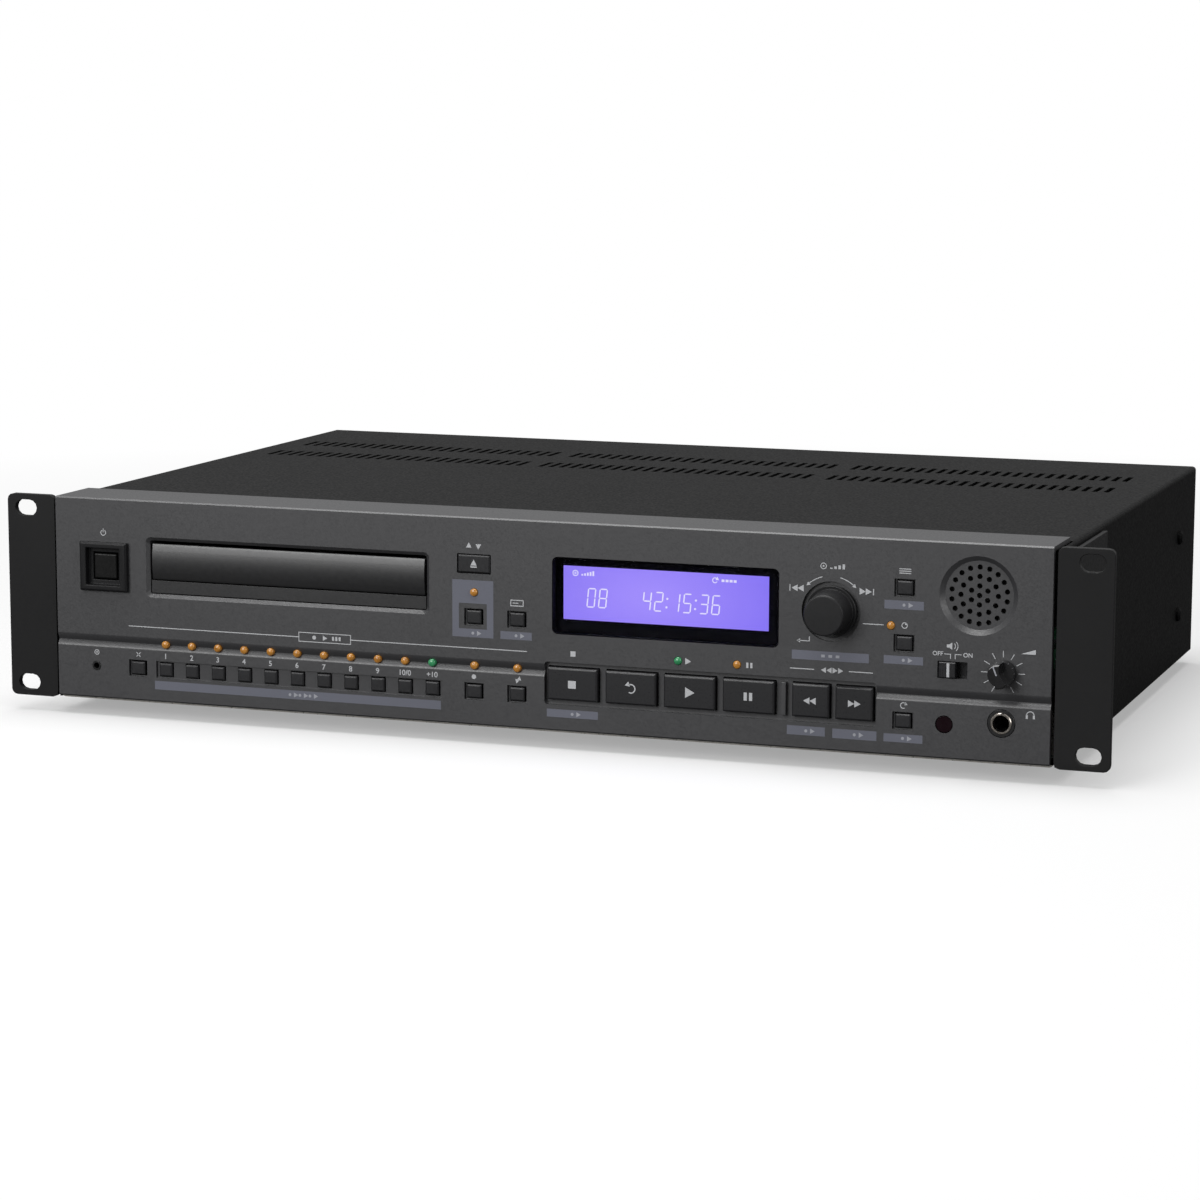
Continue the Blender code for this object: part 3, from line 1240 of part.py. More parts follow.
def speaker_switch_lever():
    x, z = spot(SLIDE_SWITCH_SHARES)
    front = PANEL_FRONT - SLIDE_PROUD
    height = SLIDE_MOUTH_HEIGHT - 2 * FIT
    shutter_front = PANEL_BACK + FIT - front
    shutter_back = shutter_front + KEY_FLANGE_WALL
    stem_end = BOARD_FRONT - SLIDE_BODY_HEIGHT - FIT - front
    eased = rectangle(SLIDE_CAP_WIDTH - 2 * SLIDE_EDGE, height - 2 * SLIDE_EDGE)
    cap = rectangle(SLIDE_CAP_WIDTH, height)
    shutter = rectangle(SLIDE_MOUTH_WIDTH + SLIDE_TRAVEL + KEY_FLANGE, height + 2 * KEY_FLANGE)
    stem = rectangle(KEY_STEM, KEY_STEM)
    bm = bmesh.new()
    loft(bm, "Y", [(0, eased), (SLIDE_EDGE, cap), (shutter_front, cap),
                   (shutter_front, shutter), (shutter_back, shutter), (shutter_back, stem),
                   (stem_end, stem)])
    add_piece("speaker_switch_lever", bm, key_plastic(), (x - SLIDE_TRAVEL / 2, front, z))


# Control board: one outline with towers beside the drive and the display.
BOARD_OUTLINE_SHARES = (
    (-0.4780, 0.068), (0.4207, 0.068), (0.4207, 0.318), (0.4874, 0.318),
    (0.4874, 0.545), (0.3760, 0.545), (0.3760, 0.886), (0.2552, 0.886),
    (0.2552, 0.409), (0.0092, 0.409), (0.0092, 0.864), (-0.0874, 0.864),
    (-0.0874, 0.409), (-0.4161, 0.409), (-0.4161, 0.818), (-0.4780, 0.818),
)


def control_board():
    bm = bmesh.new()
    prism(bm, "Y", [spot(shares) for shares in BOARD_OUTLINE_SHARES], BOARD_FRONT,
          BOARD_FRONT + BOARD_WALL)
    board = add_piece("control_board", bm, board_green())
    bodies = [(spot(POWER_SHARES), SWITCH_BODY + KEY_STEM, SWITCH_BODY, SWITCH_HEIGHT),
              (spot(SLIDE_SWITCH_SHARES), SLIDE_BODY_WIDTH, SWITCH_BODY, SLIDE_BODY_HEIGHT),
              (spot(LEVEL_SHARES), POT_BODY, POT_BODY, POT_HEIGHT),
              (spot(JOG_SHARES), ENCODER_BODY, ENCODER_BODY, ENCODER_HEIGHT)]
    bodies += [((key.x, key.z), SWITCH_BODY, SWITCH_BODY, SWITCH_HEIGHT)
               for key in all_keys()]
    bm = bmesh.new()
    for centre, width, height, tall in bodies:
        prism(bm, "Y", moved(rectangle(width, height), *centre), BOARD_FRONT - tall,
              BOARD_FRONT + OVERLAP)
    combine(board, "UNION", "switch_bodies", bm)
    combine(board, "UNION", "lamps", lamp_rods())


# Heights and places inside the drive.
TRAY_DROP = 4.0 * MM
TRAY_TOP = DOOR_TOP - TRAY_DROP
TRAY_BOTTOM = TRAY_TOP - TRAY_HEIGHT
TRAY_FRONT = DOOR_FRONT + DOOR_WALL + FIT
WELL_RADIUS = DISC_DIAMETER / 2 + DISC_CLEAR
SPINDLE_Y = TRAY_FRONT + TRAY_FRONT_MARGIN + WELL_RADIUS
TRAY_REAR = SPINDLE_Y + WELL_RADIUS + TRAY_REAR_MARGIN
TRAY_PLATE_LOW = TRAY_TOP - TRAY_WELL_DEPTH - TRAY_SMALL_WELL_DEPTH - TRAY_FLOOR
TRAY_CORNER = 4.0 * MM
KEYHOLE_RADIUS = 20.0 * MM
KEYHOLE_LENGTH = 58.0 * MM
FRAME_CLEAR = 0.6 * MM
FRAME_WALL = 2.0 * MM
FRAME_INNER = TRAY_HALF + FRAME_CLEAR
FRAME_OUTER = FRAME_INNER + FRAME_WALL
RAIL_REACH = 3.0 * MM
RAIL_WALL = 1.6 * MM
RAIL_TOP = TRAY_BOTTOM - FIT
DECK_DROP = 8.5 * MM
DECK_WALL = 1.5 * MM
DECK_TOP = RAIL_TOP - RAIL_WALL - DECK_DROP
FRAME_REAR = TRAY_REAR + FRAME_WALL
BRIDGE_LIFT = 5.0 * MM
BRIDGE_WALL = 1.5 * MM
BRIDGE_LOW = TRAY_TOP + BRIDGE_LIFT
BRIDGE_TOP = BRIDGE_LOW + BRIDGE_WALL
BRIDGE_DEPTH = 40.0 * MM
FRAME_TOP = BRIDGE_TOP + FRAME_WALL

# Rack and toothed wheel.
ADDENDUM_SHARE = 0.80
DEDENDUM_SHARE = 1.10
PRESSURE_DEGREES = 20.0
PITCH_RADIUS = GEAR_TEETH * TOOTH_MODULE / 2
TOOTH_PITCH = math.pi * TOOTH_MODULE
ADDENDUM = ADDENDUM_SHARE * TOOTH_MODULE
DEDENDUM = DEDENDUM_SHARE * TOOTH_MODULE
RACK_OUTER_X = BAY_X + FRAME_INNER - RAIL_REACH - RACK_SIDE_CLEAR
RACK_ROOT_X = RACK_OUTER_X - RACK_BODY
GEAR_X = RACK_ROOT_X - DEDENDUM - PITCH_RADIUS
GEAR_Y = PANEL_FRONT + GEAR_SETBACK
RACK_LOW = DOOR_BOTTOM + FIT
GEAR_HUB_RADIUS = 3.2 * MM
GEAR_PIN_RADIUS = 1.5 * MM
FLANK_POINTS = 4


def rack_outline():
    """Rack under the tray as x and y: straight-sided teeth towards the wheel."""
    slope = math.tan(math.radians(PRESSURE_DEGREES))
    half = (TOOTH_PITCH - GEAR_BACKLASH) / 4
    count = math.ceil(TRAY_TRAVEL / TOOTH_PITCH) + 4
    first = GEAR_Y - 1.5 * TOOTH_PITCH
    tip_x = RACK_ROOT_X - DEDENDUM - ADDENDUM
    outline = [(RACK_OUTER_X, first - TOOTH_PITCH / 2)]
    outline.append((RACK_ROOT_X, first - TOOTH_PITCH / 2))
    for n in range(count):
        y = first + n * TOOTH_PITCH
        root_half = half + DEDENDUM * slope
        tip_half = half - ADDENDUM * slope
        outline += [(RACK_ROOT_X, y - root_half), (tip_x, y - tip_half),
                    (tip_x, y + tip_half), (RACK_ROOT_X, y + root_half)]
    last = first + (count - 1) * TOOTH_PITCH + TOOTH_PITCH / 2
    return outline + [(RACK_ROOT_X, last), (RACK_OUTER_X, last)]


def involute(angle):
    return math.tan(angle) - angle


def gear_outline():
    """Involute teeth about the wheel's own axis, one of them towards the rack."""
    pressure = math.radians(PRESSURE_DEGREES)
    base = PITCH_RADIUS * math.cos(pressure)
    tip = PITCH_RADIUS + ADDENDUM
    root = PITCH_RADIUS - DEDENDUM
    half_pitch = (TOOTH_PITCH - GEAR_BACKLASH) / 4 / PITCH_RADIUS
    flank = [(root, half_pitch + involute(pressure))]
    for n in range(FLANK_POINTS):
        radius = base + (tip - base) * n / (FLANK_POINTS - 1)
        swing = involute(pressure) - involute(math.acos(min(1.0, base / radius)))
        flank.append((radius, half_pitch + swing))
    outline = []
    for tooth in range(GEAR_TEETH):
        middle = 2 * math.pi * tooth / GEAR_TEETH
        for radius, swing in flank:
            outline.append((radius, middle - swing))
        for radius, swing in flank[::-1]:
            outline.append((radius, middle + swing))
    return [(radius * math.cos(angle), radius * math.sin(angle)) for radius, angle in outline]


def loading_gear():
    low = RACK_LOW
    bm = bmesh.new()
    prism(bm, "Z", gear_outline(), 0, GEAR_HEIGHT)
    gear = add_piece("loading_gear", bm, white_plastic(), (GEAR_X, GEAR_Y, low))
    bm = bmesh.new()
    prism(bm, "Z", circle(GEAR_HUB_RADIUS, COARSE_SIDES), DECK_TOP + FIT - low, OVERLAP)
    combine(gear, "UNION", "gear_hub", bm)
    bm = bmesh.new()
    prism(bm, "Z", circle(GEAR_PIN_RADIUS + FIT, LAMP_SIDES), DECK_TOP - low,
          GEAR_HEIGHT + OVERRUN)
    combine(gear, "DIFFERENCE", "gear_bore", bm)


def disc_tray():
    """Thin moulded tray: disc wells on top, hollow below, keyhole, and its rack."""
    middle_y = (TRAY_FRONT + TRAY_REAR) / 2
    length = TRAY_REAR - TRAY_FRONT
    outline = moved(rectangle(2 * TRAY_HALF, length, TRAY_CORNER), BAY_X, middle_y)
    bm = bmesh.new()
    prism(bm, "Z", outline, TRAY_BOTTOM, TRAY_TOP)
    tray = add_piece("disc_tray", bm, key_plastic())
    inside = rectangle(2 * (TRAY_HALF - TRAY_RIM), length - 2 * TRAY_RIM, TRAY_CORNER / 2)
    bm = bmesh.new()
    prism(bm, "Z", moved(inside, BAY_X, middle_y), TRAY_BOTTOM - OVERRUN, TRAY_PLATE_LOW)
    combine(tray, "DIFFERENCE", "tray_underside", bm)
    bm = bmesh.new()
    prism(bm, "Z", moved(circle(WELL_RADIUS, 2 * FINE_SIDES), BAY_X, SPINDLE_Y),
          TRAY_TOP - TRAY_WELL_DEPTH, TRAY_TOP + OVERRUN)
    combine(tray, "DIFFERENCE", "disc_well", bm)
    bm = bmesh.new()
    small = SMALL_DISC_DIAMETER / 2 + DISC_CLEAR
    prism(bm, "Z", moved(circle(small, FINE_SIDES), BAY_X, SPINDLE_Y),
          TRAY_TOP - TRAY_WELL_DEPTH - TRAY_SMALL_WELL_DEPTH, TRAY_TOP)
    combine(tray, "DIFFERENCE", "small_disc_well", bm)
    bm = bmesh.new()
    slot_length = KEYHOLE_LENGTH + 2 * KEYHOLE_RADIUS
    keyhole = rectangle(2 * KEYHOLE_RADIUS, slot_length, KEYHOLE_RADIUS, 8)
    prism(bm, "Z", moved(keyhole, BAY_X, SPINDLE_Y + KEYHOLE_LENGTH / 2),
          TRAY_BOTTOM, TRAY_TOP)
    combine(tray, "DIFFERENCE", "tray_keyhole", bm)
    bm = bmesh.new()
    prism(bm, "Z", rack_outline(), RACK_LOW, TRAY_PLATE_LOW + OVERLAP)
    combine(tray, "UNION", "tray_rack", bm)


def tray_front():
    """Glossy door with a crowned face."""
    rise = DOOR_HEIGHT / 2
    middle = (DOOR_BOTTOM + DOOR_TOP) / 2
    back = DOOR_FRONT + DOOR_WALL
    steps = 8
    profile = [(back, middle - rise), (back, middle + rise)]
    for n in range(steps + 1):
        share = 1 - 2 * n / steps
        profile.append((DOOR_FRONT + DOOR_CROWN * share ** 4, middle + rise * share))
    bm = bmesh.new()
    prism(bm, "X", profile, BAY_X - DOOR_WIDTH / 2, BAY_X + DOOR_WIDTH / 2)
    add_piece("tray_front", bm, gloss_black())


# Parts on the drive's deck.
SILL_REACH = 3.0 * MM
SPINDLE_MOTOR_RADIUS = 11.0 * MM
SPINDLE_MOTOR_HEIGHT = 3.6 * MM
LOADING_MOTOR_RADIUS = 6.0 * MM
LOADING_MOTOR_HEIGHT = 6.0 * MM
LOADING_MOTOR_OFFSET = 16.0 * MM
GUIDE_ROD_RADIUS = 1.5 * MM
GUIDE_ROD_OFFSET = 19.0 * MM
GUIDE_ROD_LIFT = 3.6 * MM
GUIDE_START = 13.0 * MM
GUIDE_END = 83.0 * MM
GUIDE_POST = 4.0 * MM
SLED_HALF_WIDTH = 23.0 * MM
SLED_LENGTH = 28.0 * MM
SLED_HEIGHT = 6.0 * MM
SLED_TRAVEL = 34.0 * MM
LENS_RADIUS = 4.0 * MM
LENS_HEIGHT = 1.6 * MM
LENS_INSET = 7.0 * MM
DECK_SLOT_MARGIN = 6.0 * MM
CLAMP_HOLE_RADIUS = 14.0 * MM
CLAMP_FLANGE_RADIUS = 16.5 * MM
CLAMP_FLANGE_WALL = 1.5 * MM
CLAMP_DROP = 2.4 * MM
TURNTABLE_RADIUS = 15.0 * MM
TURNTABLE_WALL = 1.6 * MM
HUB_RADIUS = 7.3 * MM
HUB_RISE = 2.4 * MM
HUB_TIP_RADIUS = 3.0 * MM


def frame_profile():
    """Front view of the drive's frame as x and z: walls, rails and deck."""
    foot = FLOOR_TOP + FIT
    right = [
        (FRAME_OUTER, foot), (FRAME_OUTER, FRAME_TOP), (FRAME_INNER, FRAME_TOP),
        (FRAME_INNER, RAIL_TOP), (FRAME_INNER - RAIL_REACH, RAIL_TOP),
        (FRAME_INNER - RAIL_REACH, RAIL_TOP - RAIL_WALL),
        (FRAME_INNER, RAIL_TOP - RAIL_WALL), (FRAME_INNER, DECK_TOP),
    ]
    left = [(-x, z) for x, z in right[::-1]]
    under = [(-FRAME_INNER, foot), (-FRAME_INNER, DECK_TOP - DECK_WALL),
             (FRAME_INNER, DECK_TOP - DECK_WALL), (FRAME_INNER, foot)]
    return moved(right + left + under, BAY_X, 0)


def loader_frame():
    """Frame of the drive, with its sill, bridge, motors, guide rods and wheel pin."""
    front = PANEL_BACK + FIT
    bm = bmesh.new()
    prism(bm, "Y", frame_profile(), front, FRAME_REAR)
    frame = add_piece("loader_frame", bm, grey_plastic())
    bm = bmesh.new()
    block(bm, (BAY_X - FRAME_OUTER - OVERRUN, front - OVERRUN, BOTTOM),
          (BAY_X + FRAME_OUTER + OVERRUN, BOARD_FRONT + BOARD_WALL + OVERRUN,
           DECK_TOP - DECK_WALL - OVERRUN))
    block(bm, (BAY_X - GUIDE_ROD_OFFSET + GUIDE_POST, SPINDLE_Y + TURNTABLE_RADIUS,
               DECK_TOP - DECK_WALL - OVERRUN),
          (BAY_X + GUIDE_ROD_OFFSET - GUIDE_POST, SPINDLE_Y + GUIDE_END - DECK_SLOT_MARGIN,
           DECK_TOP + OVERRUN))
    combine(frame, "DIFFERENCE", "frame_cuts", bm)
    combine(frame, "UNION", "frame_sill_bridge", sill_and_bridge())
    combine(frame, "UNION", "deck_posts", deck_posts())
    combine(frame, "UNION", "guide_rods", guide_rods())
    bm = bmesh.new()
    prism(bm, "Z", moved(circle(CLAMP_HOLE_RADIUS, FINE_SIDES), BAY_X, SPINDLE_Y),
          BRIDGE_LOW - OVERRUN, BRIDGE_TOP + OVERRUN)
    combine(frame, "DIFFERENCE", "clamp_hole", bm)


def sill_and_bridge():
    """Strip below the door, its arms to the walls, and the bridge over the disc."""
    bm = bmesh.new()
    sill_half = DOOR_WIDTH / 2 + DOOR_GAP / 2
    block(bm, (BAY_X - sill_half, DOOR_FRONT + BAY_FRAME_DEPTH / 2, SILL_BOTTOM),
          (BAY_X + sill_half, PANEL_BACK + SILL_REACH, SILL_TOP))
    block(bm, (BAY_X - FRAME_INNER - OVERLAP, SPINDLE_Y - BRIDGE_DEPTH / 2, BRIDGE_LOW),
          (BAY_X + FRAME_INNER + OVERLAP, SPINDLE_Y + BRIDGE_DEPTH / 2, BRIDGE_TOP))
    return bm


def deck_posts():
    """Motors, wheel pin and the blocks that hold the guide rods."""
    bm = bmesh.new()
    low = DECK_TOP - OVERLAP
    prism(bm, "Z", moved(circle(SPINDLE_MOTOR_RADIUS, COARSE_SIDES), BAY_X, SPINDLE_Y),
          low, DECK_TOP + SPINDLE_MOTOR_HEIGHT)
    prism(bm, "Z", moved(circle(LOADING_MOTOR_RADIUS, COARSE_SIDES),
                         GEAR_X - LOADING_MOTOR_OFFSET, GEAR_Y),
          low, DECK_TOP + LOADING_MOTOR_HEIGHT)
    prism(bm, "Z", moved(circle(GEAR_PIN_RADIUS, LAMP_SIDES), GEAR_X, GEAR_Y),
          low, RACK_LOW + GEAR_HEIGHT)
    top = DECK_TOP + GUIDE_ROD_LIFT + 2 * GUIDE_ROD_RADIUS
    for side in (-1, 1):
        for start in (GUIDE_START, GUIDE_END):
            x = BAY_X + side * GUIDE_ROD_OFFSET
            y = SPINDLE_Y + start
            block(bm, (x - GUIDE_POST / 2, y, low), (x + GUIDE_POST / 2, y + GUIDE_POST, top))
    return bm


def guide_rods():
    bm = bmesh.new()
    for side in (-1, 1):
        outline = moved(circle(GUIDE_ROD_RADIUS, LAMP_SIDES),
                        BAY_X + side * GUIDE_ROD_OFFSET, DECK_TOP + GUIDE_ROD_LIFT)
        prism(bm, "Y", outline, SPINDLE_Y + GUIDE_START + GUIDE_POST / 2,
              SPINDLE_Y + GUIDE_END + GUIDE_POST / 2)
    return bm


def optical_pickup():
    """Sled on the two guide rods, with its lens towards the disc."""
    start = SPINDLE_Y + GUIDE_START + GUIDE_POST + FIT
    low = DECK_TOP + FIT
    bm = bmesh.new()
    block(bm, (BAY_X - SLED_HALF_WIDTH, start, low),
          (BAY_X + SLED_HALF_WIDTH, start + SLED_LENGTH, low + SLED_HEIGHT))
    sled = add_piece("optical_pickup", bm, grey_plastic())
    bm = bmesh.new()
    for side in (-1, 1):
        outline = moved(circle(GUIDE_ROD_RADIUS + FIT, LAMP_SIDES),
                        BAY_X + side * GUIDE_ROD_OFFSET, DECK_TOP + GUIDE_ROD_LIFT)
        prism(bm, "Y", outline, start - OVERRUN, start + SLED_LENGTH + OVERRUN)
    combine(sled, "DIFFERENCE", "sled_bores", bm)
    bm = bmesh.new()
    prism(bm, "Z", moved(circle(LENS_RADIUS, COARSE_SIDES), BAY_X, start + LENS_INSET),
          low + SLED_HEIGHT - OVERLAP, low + SLED_HEIGHT + LENS_HEIGHT)
    combine(sled, "UNION", "sled_lens", bm)


def turntable():
    low = DECK_TOP + SPINDLE_MOTOR_HEIGHT + FIT
    profile = [
        (0, 0), (TURNTABLE_RADIUS, 0), (TURNTABLE_RADIUS, TURNTABLE_WALL),
        (HUB_RADIUS, TURNTABLE_WALL), (HUB_RADIUS, TURNTABLE_WALL + HUB_RISE / 3),
        (HUB_TIP_RADIUS, TURNTABLE_WALL + HUB_RISE), (0, TURNTABLE_WALL + HUB_RISE),
    ]
    bm = bmesh.new()
    turned(bm, "Z", profile, FINE_SIDES - LAMP_SIDES)
    add_piece("turntable", bm, bright_metal(), (BAY_X, SPINDLE_Y, low), smooth=True)


def clamp_puck():
    """Magnetic puck that rests in the bridge's hole until a disc lifts to it."""
    body = CLAMP_HOLE_RADIUS - 2 * FIT
    flange_low = BRIDGE_WALL + FIT + CLAMP_DROP
    profile = [
        (0, 0), (body, 0), (body, flange_low), (CLAMP_FLANGE_RADIUS, flange_low),
        (CLAMP_FLANGE_RADIUS, flange_low + CLAMP_FLANGE_WALL),
        (0, flange_low + CLAMP_FLANGE_WALL),
    ]
    bm = bmesh.new()
    turned(bm, "Z", profile, FINE_SIDES - LAMP_SIDES)
    add_piece("clamp_puck", bm, white_plastic(),
              (BAY_X, SPINDLE_Y, BRIDGE_LOW - CLAMP_DROP), smooth=True)


# Main board with its larger parts, as shares of its width and depth.
CAPACITOR_RADIUS = 8.0 * MM
CAPACITOR_HEIGHT = 25.0 * MM
CAPACITOR_SHARES = ((-0.38, 0.30), (-0.26, 0.30), (-0.38, 0.12))
CHIP_HEIGHT = 2.5 * MM
CHIP_SIZE = 24.0 * MM
CHIP_SHARES = ((0.05, -0.15), (0.28, 0.10))
HEATSINK_SHARES = (-0.30, -0.25)
HEATSINK_WIDTH = 40.0 * MM
HEATSINK_DEPTH = 12.0 * MM
HEATSINK_HEIGHT = 30.0 * MM


def main_board():
    x = MAIN_BOARD_SHARES[0] * CASE_WIDTH
    y = EAR_FRONT + MAIN_BOARD_SHARES[1] * CASE_DEPTH
    low = FLOOR_TOP + MAIN_BOARD_LIFT
    top = low + BOARD_WALL
    bm = bmesh.new()
    prism(bm, "Z", moved(rectangle(MAIN_BOARD_WIDTH, MAIN_BOARD_DEPTH), x, y), low, top)
    board = add_piece("main_board", bm, board_green())
    bodies = [(shares, circle(CAPACITOR_RADIUS, SCREW_SIDES), CAPACITOR_HEIGHT)
              for shares in CAPACITOR_SHARES]
    bodies += [(shares, rectangle(CHIP_SIZE, CHIP_SIZE), CHIP_HEIGHT)
               for shares in CHIP_SHARES]
    bodies.append((HEATSINK_SHARES, rectangle(HEATSINK_WIDTH, HEATSINK_DEPTH),
                   HEATSINK_HEIGHT))
    bm = bmesh.new()
    for shares, outline, tall in bodies:
        centre = (x + shares[0] * MAIN_BOARD_WIDTH, y + shares[1] * MAIN_BOARD_DEPTH)
        prism(bm, "Z", moved(outline, *centre), top - OVERLAP, top + tall)
    combine(board, "UNION", "board_parts", bm)


# Mains transformer: laminated core with a winding through it.
TRANSFORMER_SHARES = (-0.3300, 0.7900)
CORE_WIDTH = 60.0 * MM
CORE_DEPTH = 26.0 * MM
CORE_HEIGHT = 50.0 * MM
WINDING_WIDTH = 36.0 * MM
WINDING_DEPTH = 44.0 * MM
WINDING_HEIGHT = 32.0 * MM
WINDING_CORNER = 6.0 * MM


def power_transformer():
    x = TRANSFORMER_SHARES[0] * CASE_WIDTH
    y = EAR_FRONT + TRANSFORMER_SHARES[1] * CASE_DEPTH
    low = FLOOR_TOP + FIT
    bm = bmesh.new()
    block(bm, (x - CORE_WIDTH / 2, y - CORE_DEPTH / 2, low),
          (x + CORE_WIDTH / 2, y + CORE_DEPTH / 2, low + CORE_HEIGHT))
    core = add_piece("power_transformer", bm, bright_metal())
    bm = bmesh.new()
    winding = rectangle(WINDING_WIDTH, WINDING_DEPTH, WINDING_CORNER)
    middle = low + CORE_HEIGHT / 2
    prism(bm, "Z", moved(winding, x, y), middle - WINDING_HEIGHT / 2,
          middle + WINDING_HEIGHT / 2)
    combine(core, "UNION", "winding", bm)


def main():
    clear_scene()
    front_panel()
    rack_ear(-1, "rack_ear_left")
    rack_ear(1, "rack_ear_right")
    top_cover()
    chassis_base()
    rear_panel()
    feet()
    power_bezel()
    power_button()
    for key in all_keys():
        push_key(key)
    display_window()
    display_module()
    infrared_window()
    jacks()
    speaker_driver()
    jog_knob()
    jog_collar()
    level_knob()
    speaker_switch_lever()
    control_board()
    tray_front()
    disc_tray()
    loader_frame()
    loading_gear()
    optical_pickup()
    turntable()
    clamp_puck()
    main_board()
    power_transformer()
    ac_inlet()
    output_sockets()


main()
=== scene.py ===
import bpy
import bmesh
import math
from mathutils import Matrix, Vector


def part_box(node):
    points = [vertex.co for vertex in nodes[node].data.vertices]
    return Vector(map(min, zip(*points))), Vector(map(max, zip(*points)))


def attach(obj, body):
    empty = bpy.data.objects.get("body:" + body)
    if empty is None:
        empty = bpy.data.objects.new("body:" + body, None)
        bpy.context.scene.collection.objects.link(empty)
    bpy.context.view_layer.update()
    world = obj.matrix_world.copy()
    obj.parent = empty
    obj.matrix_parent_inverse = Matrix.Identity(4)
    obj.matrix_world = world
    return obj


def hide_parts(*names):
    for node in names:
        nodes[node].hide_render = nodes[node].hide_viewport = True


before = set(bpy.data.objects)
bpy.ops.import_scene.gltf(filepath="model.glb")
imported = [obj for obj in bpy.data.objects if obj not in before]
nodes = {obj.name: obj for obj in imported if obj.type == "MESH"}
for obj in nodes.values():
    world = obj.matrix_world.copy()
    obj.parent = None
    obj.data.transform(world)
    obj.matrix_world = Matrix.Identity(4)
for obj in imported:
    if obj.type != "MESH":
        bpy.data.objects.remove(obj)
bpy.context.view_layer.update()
scene = bpy.context.scene
MM = 0.001


# Studio. A plain near-white room with two large soft lamps and a low one, so that the
# dark case keeps its edges. The camera stands to the right of the front, a little above.
CAMERA_AIM = Vector((30.3 * MM, -141.875 * MM, 63.1 * MM))
CAMERA_DISTANCE = 1413.4 * MM
CAMERA_LENS = 104.21
CAMERA_AZIMUTH = math.radians(19.67)
CAMERA_ELEVATION = math.radians(8.98)
CAMERA_ROLL = math.radians(0.18)
FLOOR_SIZE = 12.0
ROOM_WHITE = (1.0, 1.0, 1.0, 1.0)


def camera_turn():
    """Camera axes from the solved azimuth, elevation and roll."""
    back = Vector((math.sin(CAMERA_AZIMUTH) * math.cos(CAMERA_ELEVATION),
                   -math.cos(CAMERA_AZIMUTH) * math.cos(CAMERA_ELEVATION),
                   math.sin(CAMERA_ELEVATION)))
    level = Vector((0, 0, 1)).cross(back).normalized()
    upright = back.cross(level)
    right = level * math.cos(CAMERA_ROLL) + upright * math.sin(CAMERA_ROLL)
    up = back.cross(right)
    return Matrix((right, up, back)).transposed()


camera_data = bpy.data.cameras.new("camera")
camera_data.lens = CAMERA_LENS
camera_data.sensor_width = 36.0
camera_data.clip_end = 30.0
camera = bpy.data.objects.new("camera", camera_data)
camera_axes = camera_turn()
camera.matrix_world = (Matrix.Translation(CAMERA_AIM + camera_axes.col[2] * CAMERA_DISTANCE)
                       @ camera_axes.to_4x4())
scene.collection.objects.link(camera)
scene.camera = camera
scene.view_settings.view_transform = "Standard"


def add_node(tree, kind):
    return tree.nodes.new("ShaderNode" + kind)


def wire(start, output, end, socket):
    """Join one node's output to another node's input."""
    start.id_data.links.new(start.outputs[output], end.inputs[socket])


def soft_lamp(name, place, aim, size, watts):
    """Square area lamp that looks from its place towards a point."""
    data = bpy.data.lights.new(name, "AREA")
    data.size = size
    data.energy = watts
    lamp = bpy.data.objects.new(name, data)
    lamp.location = place
    lamp.rotation_euler = (Vector(aim) - Vector(place)).to_track_quat("-Z", "Y").to_euler()
    scene.collection.objects.link(lamp)


soft_lamp("overhead_lamp", (-0.2, -0.2, 2.2), (0, 0, 0), 2.0, 54)
soft_lamp("front_lamp", (-0.9, -2.3, 1.0), (0, 0, 0.05), 1.4, 31)
soft_lamp("side_lamp", (2.4, -1.0, 0.8), (0, 0, 0.05), 1.2, 12)

world = bpy.data.worlds.new("room")
world.use_nodes = True
room = world.node_tree
room_light = room.nodes["Background"]
room_light.inputs["Color"].default_value = ROOM_WHITE
room_rays = add_node(room, "LightPath")
room_gloss = add_node(room, "MapRange")
room_gloss.inputs["To Min"].default_value = 0.09
room_gloss.inputs["To Max"].default_value = 0.36
room_level = add_node(room, "Math")
room_level.operation = "MAXIMUM"
wire(room_rays, "Is Glossy Ray", room_gloss, "Value")
wire(room_gloss, "Result", room_level, 0)
wire(room_rays, "Is Camera Ray", room_level, 1)
wire(room_level, "Value", room_light, "Strength")
scene.world = world

floor_mesh = bpy.data.meshes.new("floor")
floor_shape = bmesh.new()
bmesh.ops.create_grid(floor_shape, x_segments=1, y_segments=1, size=FLOOR_SIZE / 2)
floor_shape.to_mesh(floor_mesh)
floor_shape.free()
floor = bpy.data.objects.new("floor", floor_mesh)
scene.collection.objects.link(floor)
FLOOR_NEAR = 0.42
FLOOR_FAR = 1.0
SHADOW_LIFT = 0.35


